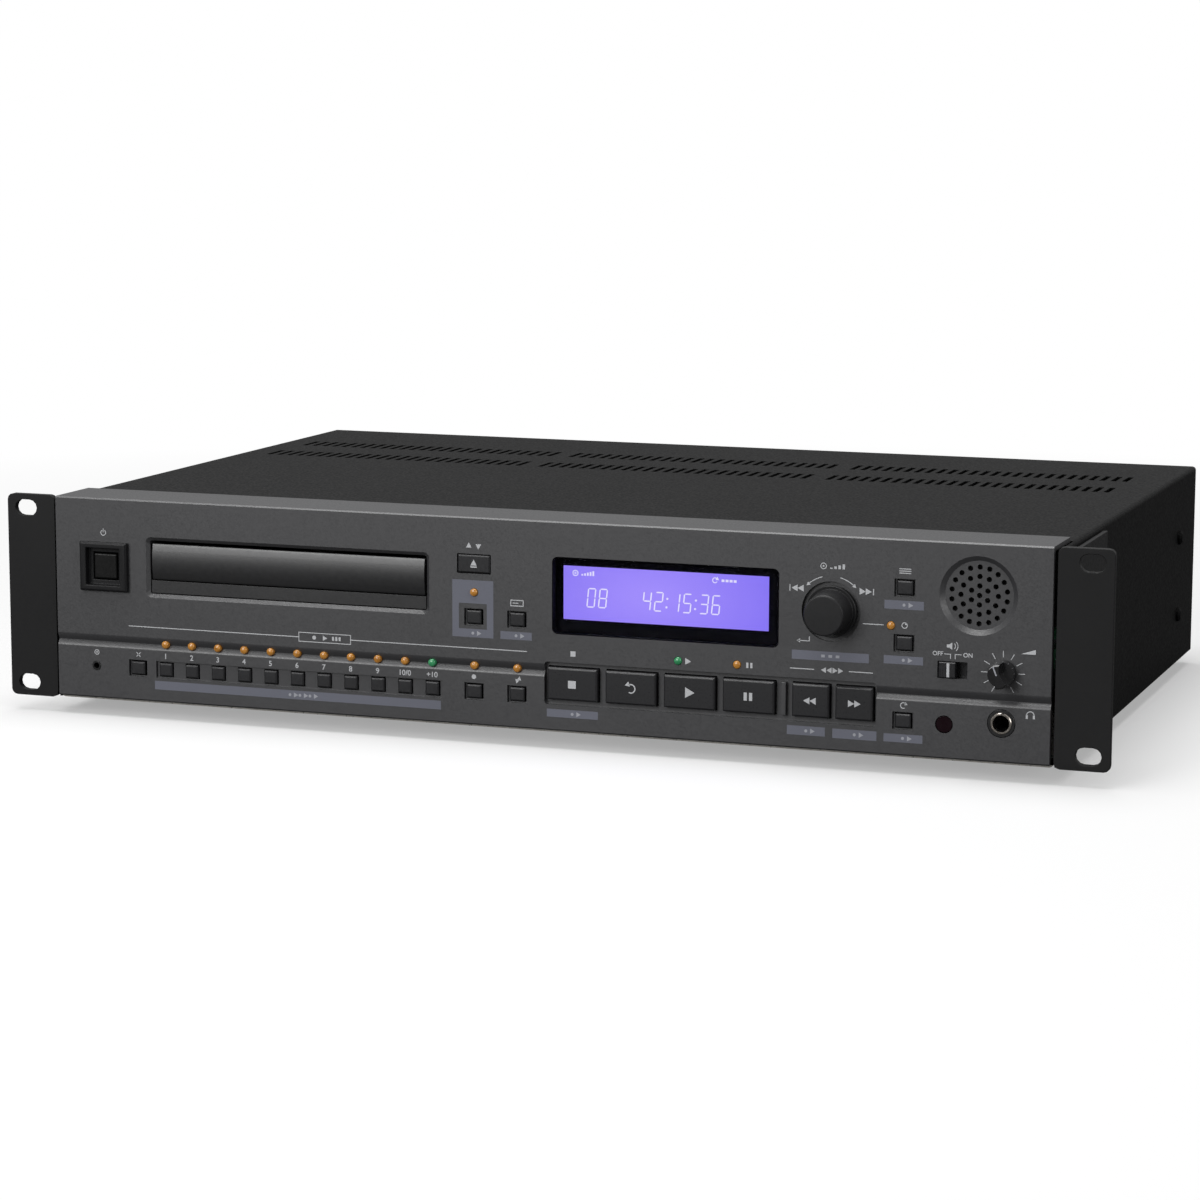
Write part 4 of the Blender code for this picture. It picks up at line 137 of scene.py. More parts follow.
def fading_floor():
    """White to the camera: matt near the object, where its shadow falls, and evenly lit
    further out. It is dark in what the object reflects, as a black studio floor is."""
    paint = bpy.data.materials.new("floor_paint")
    paint.use_nodes = True
    tree = paint.node_tree
    matt = tree.nodes["Principled BSDF"]
    matt.inputs["Roughness"].default_value = 0.95
    matt.inputs["Specular IOR Level"].default_value = 0.1
    lit = add_node(tree, "Emission")
    coords = add_node(tree, "TexCoord")
    away = add_node(tree, "VectorMath")
    away.operation = "LENGTH"
    fade = add_node(tree, "MapRange")
    fade.inputs["From Min"].default_value = FLOOR_NEAR
    fade.inputs["From Max"].default_value = FLOOR_FAR
    fade.inputs["To Min"].default_value = SHADOW_LIFT
    blend = add_node(tree, "MixShader")
    rays = add_node(tree, "LightPath")
    colour = add_node(tree, "Mix")
    colour.data_type = "RGBA"
    colour.inputs["A"].default_value = (0.08, 0.08, 0.08, 1.0)
    colour.inputs["B"].default_value = (0.86, 0.86, 0.86, 1.0)
    seen = add_node(tree, "Math")
    seen.operation = "MULTIPLY"
    wire(rays, "Is Camera Ray", colour, "Factor")
    wire(colour, "Result", matt, "Base Color")
    wire(rays, "Is Camera Ray", seen, 1)
    wire(coords, "Object", away, 0)
    wire(away, "Value", fade, "Value")
    wire(fade, "Result", seen, 0)
    wire(seen, "Value", blend, "Fac")
    wire(matt, "BSDF", blend, 1)
    wire(lit, "Emission", blend, 2)
    wire(blend, "Shader", tree.nodes["Material Output"], "Surface")
    return paint


floor_mesh.materials.append(fading_floor())


# Case. Folded sheet steel: a plain plated base pan, a black coated rear panel, and a cover
# in black powder coat whose grain shows as a fine orange peel. Four rubber feet stand under it.
def grained(name, colour, roughness, metallic=0.0, spread=0.12, grain=900.0, bump=0.00001,
            rough_spread=0.08, shine=0.5):
    """Finish whose colour, gloss and height all vary a little on the object's own axes."""
    finish = bpy.data.materials.new(name)
    finish.use_nodes = True
    tree = finish.node_tree
    shader = tree.nodes["Principled BSDF"]
    shader.inputs["Metallic"].default_value = metallic
    shader.inputs["Specular IOR Level"].default_value = shine
    coords = add_node(tree, "TexCoord")
    cloud = add_node(tree, "TexNoise")
    cloud.inputs["Scale"].default_value = 14.0
    cloud.inputs["Detail"].default_value = 4.0
    tone = add_node(tree, "ValToRGB")
    low = [part * (1 - spread) for part in colour]
    high = [part * (1 + spread) for part in colour]
    tone.color_ramp.elements[0].position = 0.3
    tone.color_ramp.elements[0].color = (*low, 1.0)
    tone.color_ramp.elements[1].position = 0.7
    tone.color_ramp.elements[1].color = (*high, 1.0)
    fine = add_node(tree, "TexNoise")
    fine.inputs["Scale"].default_value = grain
    fine.inputs["Detail"].default_value = 2.0
    gloss = add_node(tree, "MapRange")
    gloss.inputs["From Min"].default_value = 0.3
    gloss.inputs["From Max"].default_value = 0.7
    gloss.inputs["To Min"].default_value = roughness - rough_spread
    gloss.inputs["To Max"].default_value = roughness + rough_spread
    relief = add_node(tree, "Bump")
    relief.inputs["Strength"].default_value = 0.6
    relief.inputs["Distance"].default_value = bump
    wire(coords, "Object", cloud, "Vector")
    wire(coords, "Object", fine, "Vector")
    wire(cloud, "Fac", tone, "Fac")
    wire(tone, "Color", shader, "Base Color")
    wire(fine, "Fac", gloss, "Value")
    wire(gloss, "Result", shader, "Roughness")
    wire(fine, "Fac", relief, "Height")
    wire(relief, "Normal", shader, "Normal")
    return finish


def dress(finish, *names):
    """Give CAD nodes a finish."""
    for name in names:
        mesh = nodes[name].data
        mesh.materials.clear()
        mesh.materials.append(finish)


cover_coat = grained("cover_coat", (0.0045, 0.0045, 0.0047), 0.5, bump=0.00001, shine=0.08)
ear_coat = grained("ear_coat", (0.017, 0.017, 0.0175), 0.48, bump=0.00002, shine=0.2)
plated_steel = grained("plated_steel", (0.56, 0.54, 0.50), 0.34, metallic=1.0, spread=0.08)
foot_rubber = grained("foot_rubber", (0.016, 0.016, 0.016), 0.8, grain=400.0, bump=0.00005)
dress(cover_coat, "top_cover")
dress(ear_coat, "rack_ear_left", "rack_ear_right", "rear_panel")
dress(plated_steel, "chassis_base", "power_transformer")
dress(foot_rubber, "foot_front_left", "foot_front_right", "foot_rear_left",
      "foot_rear_right")


# Front panel. One thick painted aluminium extrusion with a V groove along it, milled
# wells for the keys, a bay for the tray and a drilled grille. Its edges are just broken.
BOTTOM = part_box("rack_ear_left")[0].z
PANEL_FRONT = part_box("front_panel")[0].y
PANEL_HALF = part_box("front_panel")[1].x
PANEL_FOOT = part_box("front_panel")[0].z
PANEL_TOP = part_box("front_panel")[1].z
PANEL_BACK = PANEL_FRONT + 3.6 * MM
HOOD_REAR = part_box("front_panel")[1].y
HOOD_WALL = 2.0 * MM
LIP_DEPTH = 12.0 * MM
GROOVE_Z = BOTTOM + 26.25 * MM
GROOVE_LOW = BOTTOM + 23.4 * MM
GROOVE_HIGH = BOTTOM + 29.1 * MM
GROOVE_BED = BOTTOM + 25.75 * MM
GROOVE_DEPTH = 1.35 * MM
BROKEN_EDGE = 0.22 * MM
FLANGE = 0.9 * MM
SMALL_KEYS = ("clear_button", "cue_button", "flash_button", "play_mode_button",
              "shift_button", "display_button", "jog_button", "menu_button",
              "open_close_button")
NUMBER_KEYS = ("number_1_button", "number_2_button", "number_3_button",
               "number_4_button", "number_5_button", "number_6_button",
               "number_7_button", "number_8_button", "number_9_button",
               "number_10_button", "number_plus_10_button")
BIG_KEYS = ("stop_button", "call_button", "play_button", "pause_button",
            "search_back_button", "search_forward_button")
JOG_X, JOG_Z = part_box("jog_knob")[0].x / 2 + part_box("jog_knob")[1].x / 2, BOTTOM + 57.5 * MM
LEVEL_X, LEVEL_Z = 198.32 * MM, BOTTOM + 37.2 * MM
SPEAKER_X, SPEAKER_Z = 187.96 * MM, BOTTOM + 67.1 * MM
SLIDE_X, SLIDE_Z = 178.0 * MM, BOTTOM + 37.05 * MM
BAY_X = (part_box("tray_front")[0].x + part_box("tray_front")[1].x) / 2
BAY_Z = BOTTOM + 59.35 * MM
BAY_WIDE, BAY_TALL = 127.4 * MM, 23.0 * MM
BAY_SPLAY, BAY_SPLAY_DEPTH = 3.0 * MM, 1.4 * MM
POWER_X, POWER_Z, POWER_HOLE = -194.18 * MM, BOTTOM + 58.7 * MM, 17.8 * MM
SLIDE_WIDE, SLIDE_TALL = 12.1 * MM, 6.9 * MM
WINDOW_WIDE, WINDOW_TALL, WINDOW_CORNER = 96.7 * MM, 32.0 * MM, 2.4 * MM
KEY_CORNER = 0.3 * MM
LAMP_HOLE = 1.8 * MM
JOG_RECESS, JACK_RECESS = 12.15 * MM, 5.7 * MM
GRILLE_MOUTH, GRILLE_RIM, GRILLE_PLATE = 18.25 * MM, 13.75 * MM, 13.6 * MM
GRILLE_STEP, GRILLE_HOLE = 3.75 * MM, 1.08 * MM


def middle(node):
    low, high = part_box(node)
    return (low + high) / 2


def outline_box(width, height, corner=0.0, steps=6):
    """Rounded rectangle about the origin as x and z."""
    if corner <= 0.0:
        return [(-width / 2, -height / 2), (width / 2, -height / 2),
                (width / 2, height / 2), (-width / 2, height / 2)]
    points = []
    for quarter, (side, rise) in enumerate(((1, 1), (-1, 1), (-1, -1), (1, -1))):
        for n in range(steps + 1):
            angle = math.pi / 2 * (quarter + n / steps)
            points.append((side * (width / 2 - corner) + corner * math.cos(angle),
                           rise * (height / 2 - corner) + corner * math.sin(angle)))
    return points


def outline_round(radius, sides):
    return [(radius * math.cos(2 * math.pi * n / sides),
             radius * math.sin(2 * math.pi * n / sides)) for n in range(sides)]


def at(outline, x, z):
    return [(a + x, b + z) for a, b in outline]


def sweep_x(shape, profile, left, right):
    """Close a solid between a (y, z) profile at one end and the same at the other."""
    cap = shape.faces.new([shape.verts.new((left, y, z)) for y, z in profile])
    grown = bmesh.ops.extrude_face_region(shape, geom=[cap])["geom"]
    bmesh.ops.translate(shape, vec=(right - left, 0, 0),
                        verts=[item for item in grown if isinstance(item, bmesh.types.BMVert)])


def sweep_y(shape, outline, near, far, shrink=None):
    """Close a solid between an outline at one depth and the same, or another, further in."""
    front = [shape.verts.new((x, near, z)) for x, z in outline]
    cap = shape.faces.new(front)
    grown = bmesh.ops.extrude_face_region(shape, geom=[cap])["geom"]
    back = [item for item in grown if isinstance(item, bmesh.types.BMVert)]
    bmesh.ops.translate(shape, verts=back, vec=(0, far - near, 0))
    if shrink:
        centre = sum((vert.co for vert in back), Vector()) / len(back)
        centre.y = 0
        bmesh.ops.scale(shape, verts=back, vec=(shrink[0], 1, shrink[1]),
                        space=Matrix.Translation(-centre))


def piece_from(shape, name, finish, body="case", smooth=None):
    """Object from a bmesh that rides on a body."""
    bmesh.ops.recalc_face_normals(shape, faces=shape.faces)
    mesh = bpy.data.meshes.new(name)
    shape.to_mesh(mesh)
    shape.free()
    if finish:
        mesh.materials.append(finish)
    if smooth:
        mesh.shade_smooth()
        mesh.set_sharp_from_angle(angle=math.radians(smooth))
    piece = bpy.data.objects.new(name, mesh)
    if smooth:
        flatten = piece.modifiers.new("flat_faces", "WEIGHTED_NORMAL")
        flatten.keep_sharp = True
    scene.collection.objects.link(piece)
    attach(piece, body)
    return piece


def carve(shape, cutter):
    """Cut one bmesh out of another with the exact solver."""
    parts = []
    for label, item in (("blank", shape), ("cutter", cutter)):
        bmesh.ops.recalc_face_normals(item, faces=item.faces)
        mesh = bpy.data.meshes.new(label)
        item.to_mesh(mesh)
        item.free()
        part = bpy.data.objects.new(label, mesh)
        scene.collection.objects.link(part)
        parts.append(part)
    step = parts[0].modifiers.new("cut", "BOOLEAN")
    step.operation = "DIFFERENCE"
    step.solver = "EXACT"
    step.object = parts[1]
    result = bmesh.new()
    result.from_object(parts[0], bpy.context.evaluated_depsgraph_get())
    for part in parts:
        mesh = part.data
        bpy.data.objects.remove(part)
        bpy.data.meshes.remove(mesh)
    return result


def break_edges(shape, width, angle=30, segments=2, only=None):
    """Small round on every edge sharper than an angle."""
    bmesh.ops.dissolve_limit(shape, angle_limit=math.radians(1), verts=shape.verts,
                             edges=shape.edges)
    sharp = [edge for edge in shape.edges
             if len(edge.link_faces) == 2 and edge.calc_face_angle() > math.radians(angle)
             and (only is None or only(edge))]
    bmesh.ops.bevel(shape, geom=sharp, offset=width, offset_type="OFFSET",
                    segments=segments, profile=0.5, affect="EDGES", material=-1,
                    clamp_overlap=True)


def key_rows():
    """Each well's keys with its side and end margins, depth and corner."""
    for key in SMALL_KEYS:
        yield (key,), 1.15 * MM, 0.8 * MM, 1.3 * MM, KEY_CORNER
    yield NUMBER_KEYS, 1.6 * MM, 0.9 * MM, 1.0 * MM, KEY_CORNER
    yield BIG_KEYS, 1.45 * MM, 2.2 * MM, 2.2 * MM, 1.5 * MM


def groove_sides():
    """Groove section from its upper lip down: each side eases into the panel's face."""
    for edge, bed in ((GROOVE_HIGH, GROOVE_BED + 0.2 * MM), (GROOVE_LOW, GROOVE_BED)):
        steps = range(6) if edge > bed else range(5, -1, -1)
        for n in steps:
            yield (PANEL_FRONT + GROOVE_DEPTH * (n / 5) ** 1.6, edge + (bed - edge) * n / 5)


def panel_blank():
    shape = bmesh.new()
    edge = 0.6 * MM
    side = [
        (PANEL_FRONT + edge, PANEL_FOOT), (PANEL_FRONT + LIP_DEPTH, PANEL_FOOT),
        (PANEL_FRONT + LIP_DEPTH, PANEL_FOOT + HOOD_WALL),
        (PANEL_BACK, PANEL_FOOT + HOOD_WALL), (PANEL_BACK, PANEL_TOP - HOOD_WALL),
        (HOOD_REAR, PANEL_TOP - HOOD_WALL), (HOOD_REAR, PANEL_TOP),
        (PANEL_FRONT + edge, PANEL_TOP), (PANEL_FRONT, PANEL_TOP - edge),
        *groove_sides(),
        (PANEL_FRONT, PANEL_FOOT + edge),
    ]
    sweep_x(shape, side, -PANEL_HALF, PANEL_HALF)
    return shape


def panel_wells():
    shape = bmesh.new()
    for keys, side, end, depth, corner in key_rows():
        boxes = [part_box(key) for key in keys]
        left = min(low.x for low, high in boxes) + FLANGE - side
        right = max(high.x for low, high in boxes) - FLANGE + side
        tall = boxes[0][1].z - boxes[0][0].z - 2 * FLANGE + 2 * end
        if keys != ("open_close_button",):
            sweep_y(shape, at(outline_box(right - left, tall, corner), (left + right) / 2,
                              middle(keys[0]).z), PANEL_FRONT - 2 * MM, PANEL_FRONT + depth)
    return shape


def panel_openings():
    shape = bmesh.new()
    far = PANEL_BACK + 2 * MM
    near = PANEL_FRONT - 2 * MM
    for key in SMALL_KEYS + NUMBER_KEYS + BIG_KEYS:
        low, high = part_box(key)
        hole = outline_box(high.x - low.x - 2 * FLANGE + 0.8 * MM,
                           high.z - low.z - 2 * FLANGE + 0.8 * MM, KEY_CORNER, 2)
        sweep_y(shape, at(hole, middle(key).x, middle(key).z), near, far)
    for x, z in LAMP_PLACES:
        sweep_y(shape, at(outline_round(LAMP_HOLE, 24), x, z), near, far)
    sweep_y(shape, at(outline_box(POWER_HOLE, POWER_HOLE), POWER_X, POWER_Z), near, far)
    sweep_y(shape, at(outline_box(BAY_WIDE, BAY_TALL, 0.9 * MM), BAY_X, BAY_Z), near, far)
    sweep_y(shape, at(outline_box(SLIDE_WIDE, SLIDE_TALL, KEY_CORNER, 2), SLIDE_X, SLIDE_Z),
            near, far)
    for x, z, radius in ((JOG_X, JOG_Z, 4.8 * MM), (LEVEL_X, LEVEL_Z, 3.3 * MM),
                         (middle("infrared_window").x, middle("infrared_window").z, 3.6 * MM),
                         (middle("phones_jack").x, middle("phones_jack").z, 5.2 * MM),
                         (middle("remote_jack").x, middle("remote_jack").z, 2.1 * MM)):
        sweep_y(shape, at(outline_round(radius, 48), x, z), near, far)
    window = outline_box(WINDOW_WIDE, WINDOW_TALL, WINDOW_CORNER, 8)
    sweep_y(shape, at(window, middle("display_window").x, middle("display_window").z),
            near, far)
    return shape


LAMP_PLACES = [(middle(key).x, GROOVE_Z) for key in NUMBER_KEYS]
LAMP_PLACES += [(middle(key).x, GROOVE_Z) for key in ("cue_button", "flash_button")]
LAMP_PLACES += [(middle("shift_button").x, BOTTOM + 56.8 * MM),
                (64.3 * MM, BOTTOM + 33.7 * MM), (89.3 * MM, BOTTOM + 33.7 * MM),
                (152.8 * MM, BOTTOM + 53.4 * MM)]


def panel_rounds():
    """Splayed frame of the bay, knob recess, dished grille and jack recess."""
    shape = bmesh.new()
    near = PANEL_FRONT - 2 * MM
    grown = (BAY_SPLAY_DEPTH + 2 * MM) / BAY_SPLAY_DEPTH * BAY_SPLAY
    sweep_y(shape, at(outline_box(BAY_WIDE + grown, BAY_TALL + grown, 2.6 * MM), BAY_X, BAY_Z),
            near, PANEL_FRONT + BAY_SPLAY_DEPTH,
            (BAY_WIDE / (BAY_WIDE + grown), BAY_TALL / (BAY_TALL + grown)))
    sweep_y(shape, at(outline_round(JOG_RECESS, 96), JOG_X, JOG_Z), near,
            PANEL_FRONT + 1.8 * MM)
    sweep_y(shape, at(outline_round(GRILLE_MOUTH, 96), SPEAKER_X, SPEAKER_Z), near,
            PANEL_FRONT + 1.6 * MM, (GRILLE_RIM / GRILLE_MOUTH, GRILLE_RIM / GRILLE_MOUTH))
    sweep_y(shape, at(outline_round(GRILLE_PLATE, 96), SPEAKER_X, SPEAKER_Z), near,
            PANEL_FRONT + 1.85 * MM)
    sweep_y(shape, at(outline_round(JACK_RECESS, 64), middle("phones_jack").x,
                      middle("phones_jack").z), near, PANEL_FRONT + 1.2 * MM)
    return shape


def grille_holes():
    shape = bmesh.new()
    places = [(SPEAKER_X, SPEAKER_Z)]
    for ring in (1, 2, 3):
        for n in range(6 * ring):
            angle = math.pi / 2 + math.pi * n / (3 * ring)
            places.append((SPEAKER_X + ring * GRILLE_STEP * math.cos(angle),
                           SPEAKER_Z + ring * GRILLE_STEP * math.sin(angle)))
    for x, z in places:
        sweep_y(shape, at(outline_round(GRILLE_HOLE, 20), x, z), PANEL_FRONT - 2 * MM,
                PANEL_BACK + 2 * MM)
    return shape


panel = carve(panel_blank(), panel_wells())
panel = carve(panel, panel_rounds())
panel = carve(panel, panel_openings())
panel = carve(panel, grille_holes())
break_edges(panel, BROKEN_EDGE, 25)
panel_coat = grained("panel_coat", (0.046, 0.046, 0.049), 0.40, spread=0.05, grain=1400.0,
                     bump=0.00001, shine=0.9)
panel_face = piece_from(panel, "panel_face", panel_coat, smooth=20)
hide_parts("front_panel")
divider = bmesh.new()
divider_x = (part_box("pause_button")[1].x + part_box("search_back_button")[0].x) / 2
sweep_y(divider, at(outline_box(2.0 * MM, 13.6 * MM), divider_x, middle("pause_button").z),
        PANEL_FRONT + 0.3 * MM, PANEL_FRONT + 2.4 * MM)
break_edges(divider, 0.25 * MM)
piece_from(divider, "key_divider", panel_coat, smooth=50)


# Printing on the panel. White screen-printed ink and grey-blue bars, each a film a few
# hundredths of a millimetre thick: rules, numbers and plain signs beside the controls.
INK = 0.04 * MM


def film(shape, outline, y=PANEL_FRONT):
    """Film of ink on a face at a depth, from its outline as x and z."""
    sweep_y(shape, outline, y - INK, y + INK)


def strip(shape, left, right, low, high, y=PANEL_FRONT):
    """Upright rectangle between heights above the panel's foot line, in millimetres."""
    outline = [(left * MM, low * MM + BOTTOM), (right * MM, low * MM + BOTTOM),
               (right * MM, high * MM + BOTTOM), (left * MM, high * MM + BOTTOM)]
    film(shape, outline, y)


def frame_strip(shape, left, right, low, high, width=0.32):
    strip(shape, left, right, low, low + width)
    strip(shape, left, right, high - width, high)
    strip(shape, left, left + width, low + width, high - width)
    strip(shape, right - width, right, low + width, high - width)


def arrow_head(shape, x, z, size, turn=0.0, y=PANEL_FRONT):
    """Filled triangle that points right, or is turned by an angle in degrees."""
    angle = math.radians(turn)
    corners = [(0.6 * size, 0), (-0.4 * size, 0.55 * size), (-0.4 * size, -0.55 * size)]
    film(shape, [(x * MM + (a * math.cos(angle) - b * math.sin(angle)) * MM,
                  z * MM + BOTTOM + (a * math.sin(angle) + b * math.cos(angle)) * MM)
                 for a, b in corners], y)


def arc_strip(shape, x, z, radius, width, start, end, steps=24, y=PANEL_FRONT):
    """Part of a ring between two angles in degrees."""
    outer, inner = [], []
    for n in range(steps + 1):
        angle = math.radians(start + (end - start) * n / steps)
        for row, reach in ((outer, radius + width / 2), (inner, radius - width / 2)):
            row.append((x * MM + reach * MM * math.cos(angle),
                        z * MM + BOTTOM + reach * MM * math.sin(angle)))
    if abs(end - start) < 360:
        film(shape, outer + inner[::-1], y)
        return
    half = steps // 2
    film(shape, outer[:half + 1] + inner[:half + 1][::-1], y)
    film(shape, outer[half:] + inner[half:][::-1], y)


def dot(shape, x, z, radius, y=PANEL_FRONT):
    film(shape, at(outline_round(radius * MM, 24), x * MM, z * MM + BOTTOM), y)


def ray(shape, x, z, start, end, angle, width=0.3):
    """Short stroke that points away from a centre."""
    along = Vector((math.cos(math.radians(angle)), math.sin(math.radians(angle))))
    across = Vector((-along.y, along.x)) * width / 2
    points = [along * start - across, along * end - across,
              along * end + across, along * start + across]
    film(shape, [((x + p.x) * MM, (z + p.y) * MM + BOTTOM) for p in points])


def printed_number(words, x, low, height, name, finish):
    """Number or short word in ink, centred on x, from a text made into a mesh."""
    curve = bpy.data.curves.new(name, "FONT")
    curve.body = words
    curve.align_x = "CENTER"
    curve.size = height * MM / 0.7
    curve.extrude = INK
    curve.offset = 0.022 * height * MM
    words_object = bpy.data.objects.new(name, curve)
    scene.collection.objects.link(words_object)
    mesh = bpy.data.meshes.new_from_object(words_object.evaluated_get(
        bpy.context.evaluated_depsgraph_get()))
    bpy.data.objects.remove(words_object)
    mesh.name = name
    place = Matrix.Translation((x * MM, PANEL_FRONT, low * MM + BOTTOM))
    mesh.transform(place @ Matrix.Rotation(math.radians(90), 4, "X"))
    mesh.materials.clear()
    mesh.materials.append(finish)
    piece = bpy.data.objects.new(name, mesh)
    scene.collection.objects.link(piece)
    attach(piece, "case")
    return piece


white_ink = grained("white_ink", (0.62, 0.63, 0.65), 0.55, spread=0.05, grain=1200.0)
bar_ink = grained("bar_ink", (0.165, 0.172, 0.212), 0.5, spread=0.06, grain=1200.0)
pale_ink = grained("pale_ink", (0.42, 0.43, 0.47), 0.5, spread=0.06, grain=1200.0)

ink = bmesh.new()
strip(ink, -183.4, -103.8, 33.32, 33.68)
strip(ink, -79.8, -1.0, 33.32, 33.68)
frame_strip(ink, -103.8, -79.8, 31.5, 35.65)
dot(ink, -96.6, 33.57, 0.85)
arrow_head(ink, -91.8, 33.57, 2.0)
for n in range(3):
    strip(ink, -88.4 + n * 1.5, -87.5 + n * 1.5, 32.75, 34.4)
strip(ink, 111.5, 121.5, 33.62, 33.98)
strip(ink, 135.9, 145.8, 33.62, 33.98)
for x, turn in ((125.6, 180), (127.9, 180), (130.0, 0), (132.3, 0)):
    arrow_head(ink, x, 33.8, 2.1, turn)
strip(ink, 141.2, 149.8, 53.27, 53.63)

# power sign, then the tray's two arrows, shift arrow and display sign
arc_strip(ink, -194.8, 73.2, 1.15, 0.34, -240, 60)
strip(ink, -194.97, -194.63, 73.3, 75.0)
arrow_head(ink, -26.6, 76.2, 2.2, 90)
arrow_head(ink, -22.4, 76.0, 2.2, -90)
frame_strip(ink, -8.3, -2.5, 52.0, 54.7, 0.36)
strip(ink, -7.3, -4.8, 53.15, 53.5)

# signs over the stop, play and pause keys, beside their lamps
strip(ink, 18.0, 20.2, 32.6, 34.8)
arrow_head(ink, 68.4, 33.7, 2.5)
for x in (93.2, 94.9):
    strip(ink, x, x + 0.9, 32.6, 34.8)

# track signs and turning arrows round the large knob, and the enter sign under it
for x, turn in ((115.8, 180), (113.3, 180), (140.8, 0), (143.3, 0)):
    arrow_head(ink, x, 66.3, 2.5, turn)
strip(ink, 110.9, 111.3, 65.0, 67.6)
strip(ink, 145.3, 145.7, 65.0, 67.6)
arc_strip(ink, 128.2, 57.5, 14.3, 0.34, 105, 130)
arc_strip(ink, 128.2, 57.5, 14.3, 0.34, 50, 75)
for side in (-1, 1):
    arrow_head(ink, 128.2 + side * 14.3 * math.cos(math.radians(48)),
               57.5 + 14.3 * math.sin(math.radians(48)), 1.5, 90 - side * 132)
arc_strip(ink, 124.9, 75.7, 1.15, 0.34, 0, 360)
dot(ink, 124.9, 75.7, 0.4)
for n in range(4):
    strip(ink, 127.6 + n * 1.7, 128.6 + n * 1.7, 74.7, 75.2 + n * 0.5)
strip(ink, 114.6, 119.6, 45.0, 45.36)
strip(ink, 119.24, 119.6, 45.36, 47.0)
arrow_head(ink, 115.0, 45.18, 1.5, 180)

# menu lines, jog ring, clear cross, cue dot, flash stroke and the repeat sign
for n in range(3):
    strip(ink, 155.9, 160.7, 74.35 + n * 0.85, 74.7 + n * 0.85)
arc_strip(ink, 158.4, 53.7, 1.1, 0.34, 0, 360)
dot(ink, 158.9, 54.2, 0.35)
for angle in (45, 135, 225, 315):
    ray(ink, -179.0, 21.3, 0.0, 1.35, angle, 0.36)
dot(ink, -24.5, 21.5, 1.0)
arrow_head(ink, -4.4, 22.0, 1.7, 80)
arrow_head(ink, -5.4, 20.9, 1.7, 260)
arc_strip(ink, 158.4, 21.6, 1.15, 0.34, 30, 300)
arrow_head(ink, 159.4, 22.3, 1.2, 100)

# remote socket, speaker, level and headphone signs
arc_strip(ink, -198.9, 21.2, 1.0, 0.34, 0, 360)
dot(ink, -198.9, 21.2, 0.35)
strip(ink, 175.6, 176.6, 46.0, 47.2)
film(ink, [(x * MM, z * MM + BOTTOM) for x, z in
           ((176.6, 46.0), (177.8, 45.1), (177.8, 48.1), (176.6, 47.2))])
arc_strip(ink, 177.6, 46.6, 1.5, 0.3, -45, 45, 10)
arc_strip(ink, 177.6, 46.6, 2.5, 0.3, -45, 45, 10)
film(ink, [(x * MM, z * MM + BOTTOM) for x, z in
           ((205.4, 45.2), (211.2, 45.2), (211.2, 47.1))])
arc_strip(ink, 209.6, 21.0, 1.5, 0.36, 0, 180, 16)
for x in (207.8, 210.6):
    strip(ink, x, x + 0.8, 19.6, 21.1)
for n in range(11):
    ray(ink, 198.32, 37.2, 6.2, 8.8, 240 - 30 * n)
strip(ink, 174.6, 177.3, 43.2, 43.5)
strip(ink, 177.0, 177.3, 41.5, 43.2)
strip(ink, 178.9, 181.6, 43.2, 43.5)
strip(ink, 178.9, 179.2, 41.5, 43.2)
piece_from(ink, "panel_signs", white_ink)

for n, key in enumerate(NUMBER_KEYS):
    word = ("1", "2", "3", "4", "5", "6", "7", "8", "9", "10/0", "+10")[n]
    printed_number(word, middle(key).x / MM, 20.2, 2.25, f"printed_number_{n + 1}", white_ink)
printed_number("OFF", 172.0, 42.6, 1.7, "printed_off", white_ink)
printed_number("ON", 184.2, 42.5, 1.7, "printed_on", white_ink)

bars = bmesh.new()
for left, right, low, high in (
        (-171.4, -39.3, 6.7, 10.4), (-12.7, 1.1, 38.1, 41.4), (7.7, 30.0, 7.0, 10.3),
        (110.5, 126.3, 6.8, 10.5), (129.4, 147.6, 6.5, 10.35), (112.2, 144.0, 37.6, 41.3),
        (150.0, 166.05, 60.05, 63.55), (150.1, 166.1, 38.1, 41.4),
        (150.5, 166.4, 6.65, 9.95)):
    strip(bars, left, right, low, high)
piece_from(bars, "panel_bars", bar_ink)
shift_plate = bmesh.new()
strip(shift_plate, -34.0, -15.8, 38.0, 61.85)
shift_cuts = bmesh.new()
sweep_y(shift_cuts, at(outline_box(12.4 * MM, 10.65 * MM), -24.9 * MM, BOTTOM + 46.83 * MM),
        PANEL_FRONT - MM, PANEL_FRONT + MM)
sweep_y(shift_cuts, at(outline_round(LAMP_HOLE, 24), -24.2 * MM, BOTTOM + 56.8 * MM),
        PANEL_FRONT - MM, PANEL_FRONT + MM)
piece_from(carve(shift_plate, shift_cuts), "shift_bar", bar_ink)

marks = bmesh.new()
for x, z in ((-108.0, 8.5), (-103.4, 8.5), (-98.8, 8.5), (18.8, 8.6), (118.4, 8.6),
             (138.5, 8.4), (158.3, 8.3), (-5.8, 39.75), (-24.9, 39.75), (158.1, 39.75),
             (158.0, 61.8)):
    dot(marks, x, z, 0.62, PANEL_FRONT - INK)
    arrow_head(marks, x + 2.6, z, 1.9, 0, PANEL_FRONT - INK)
for x in (124.4, 127.4, 130.4):
    strip(marks, x, x + 1.5, 38.9, 40.0, PANEL_FRONT - INK)
piece_from(marks, "bar_marks", pale_ink)


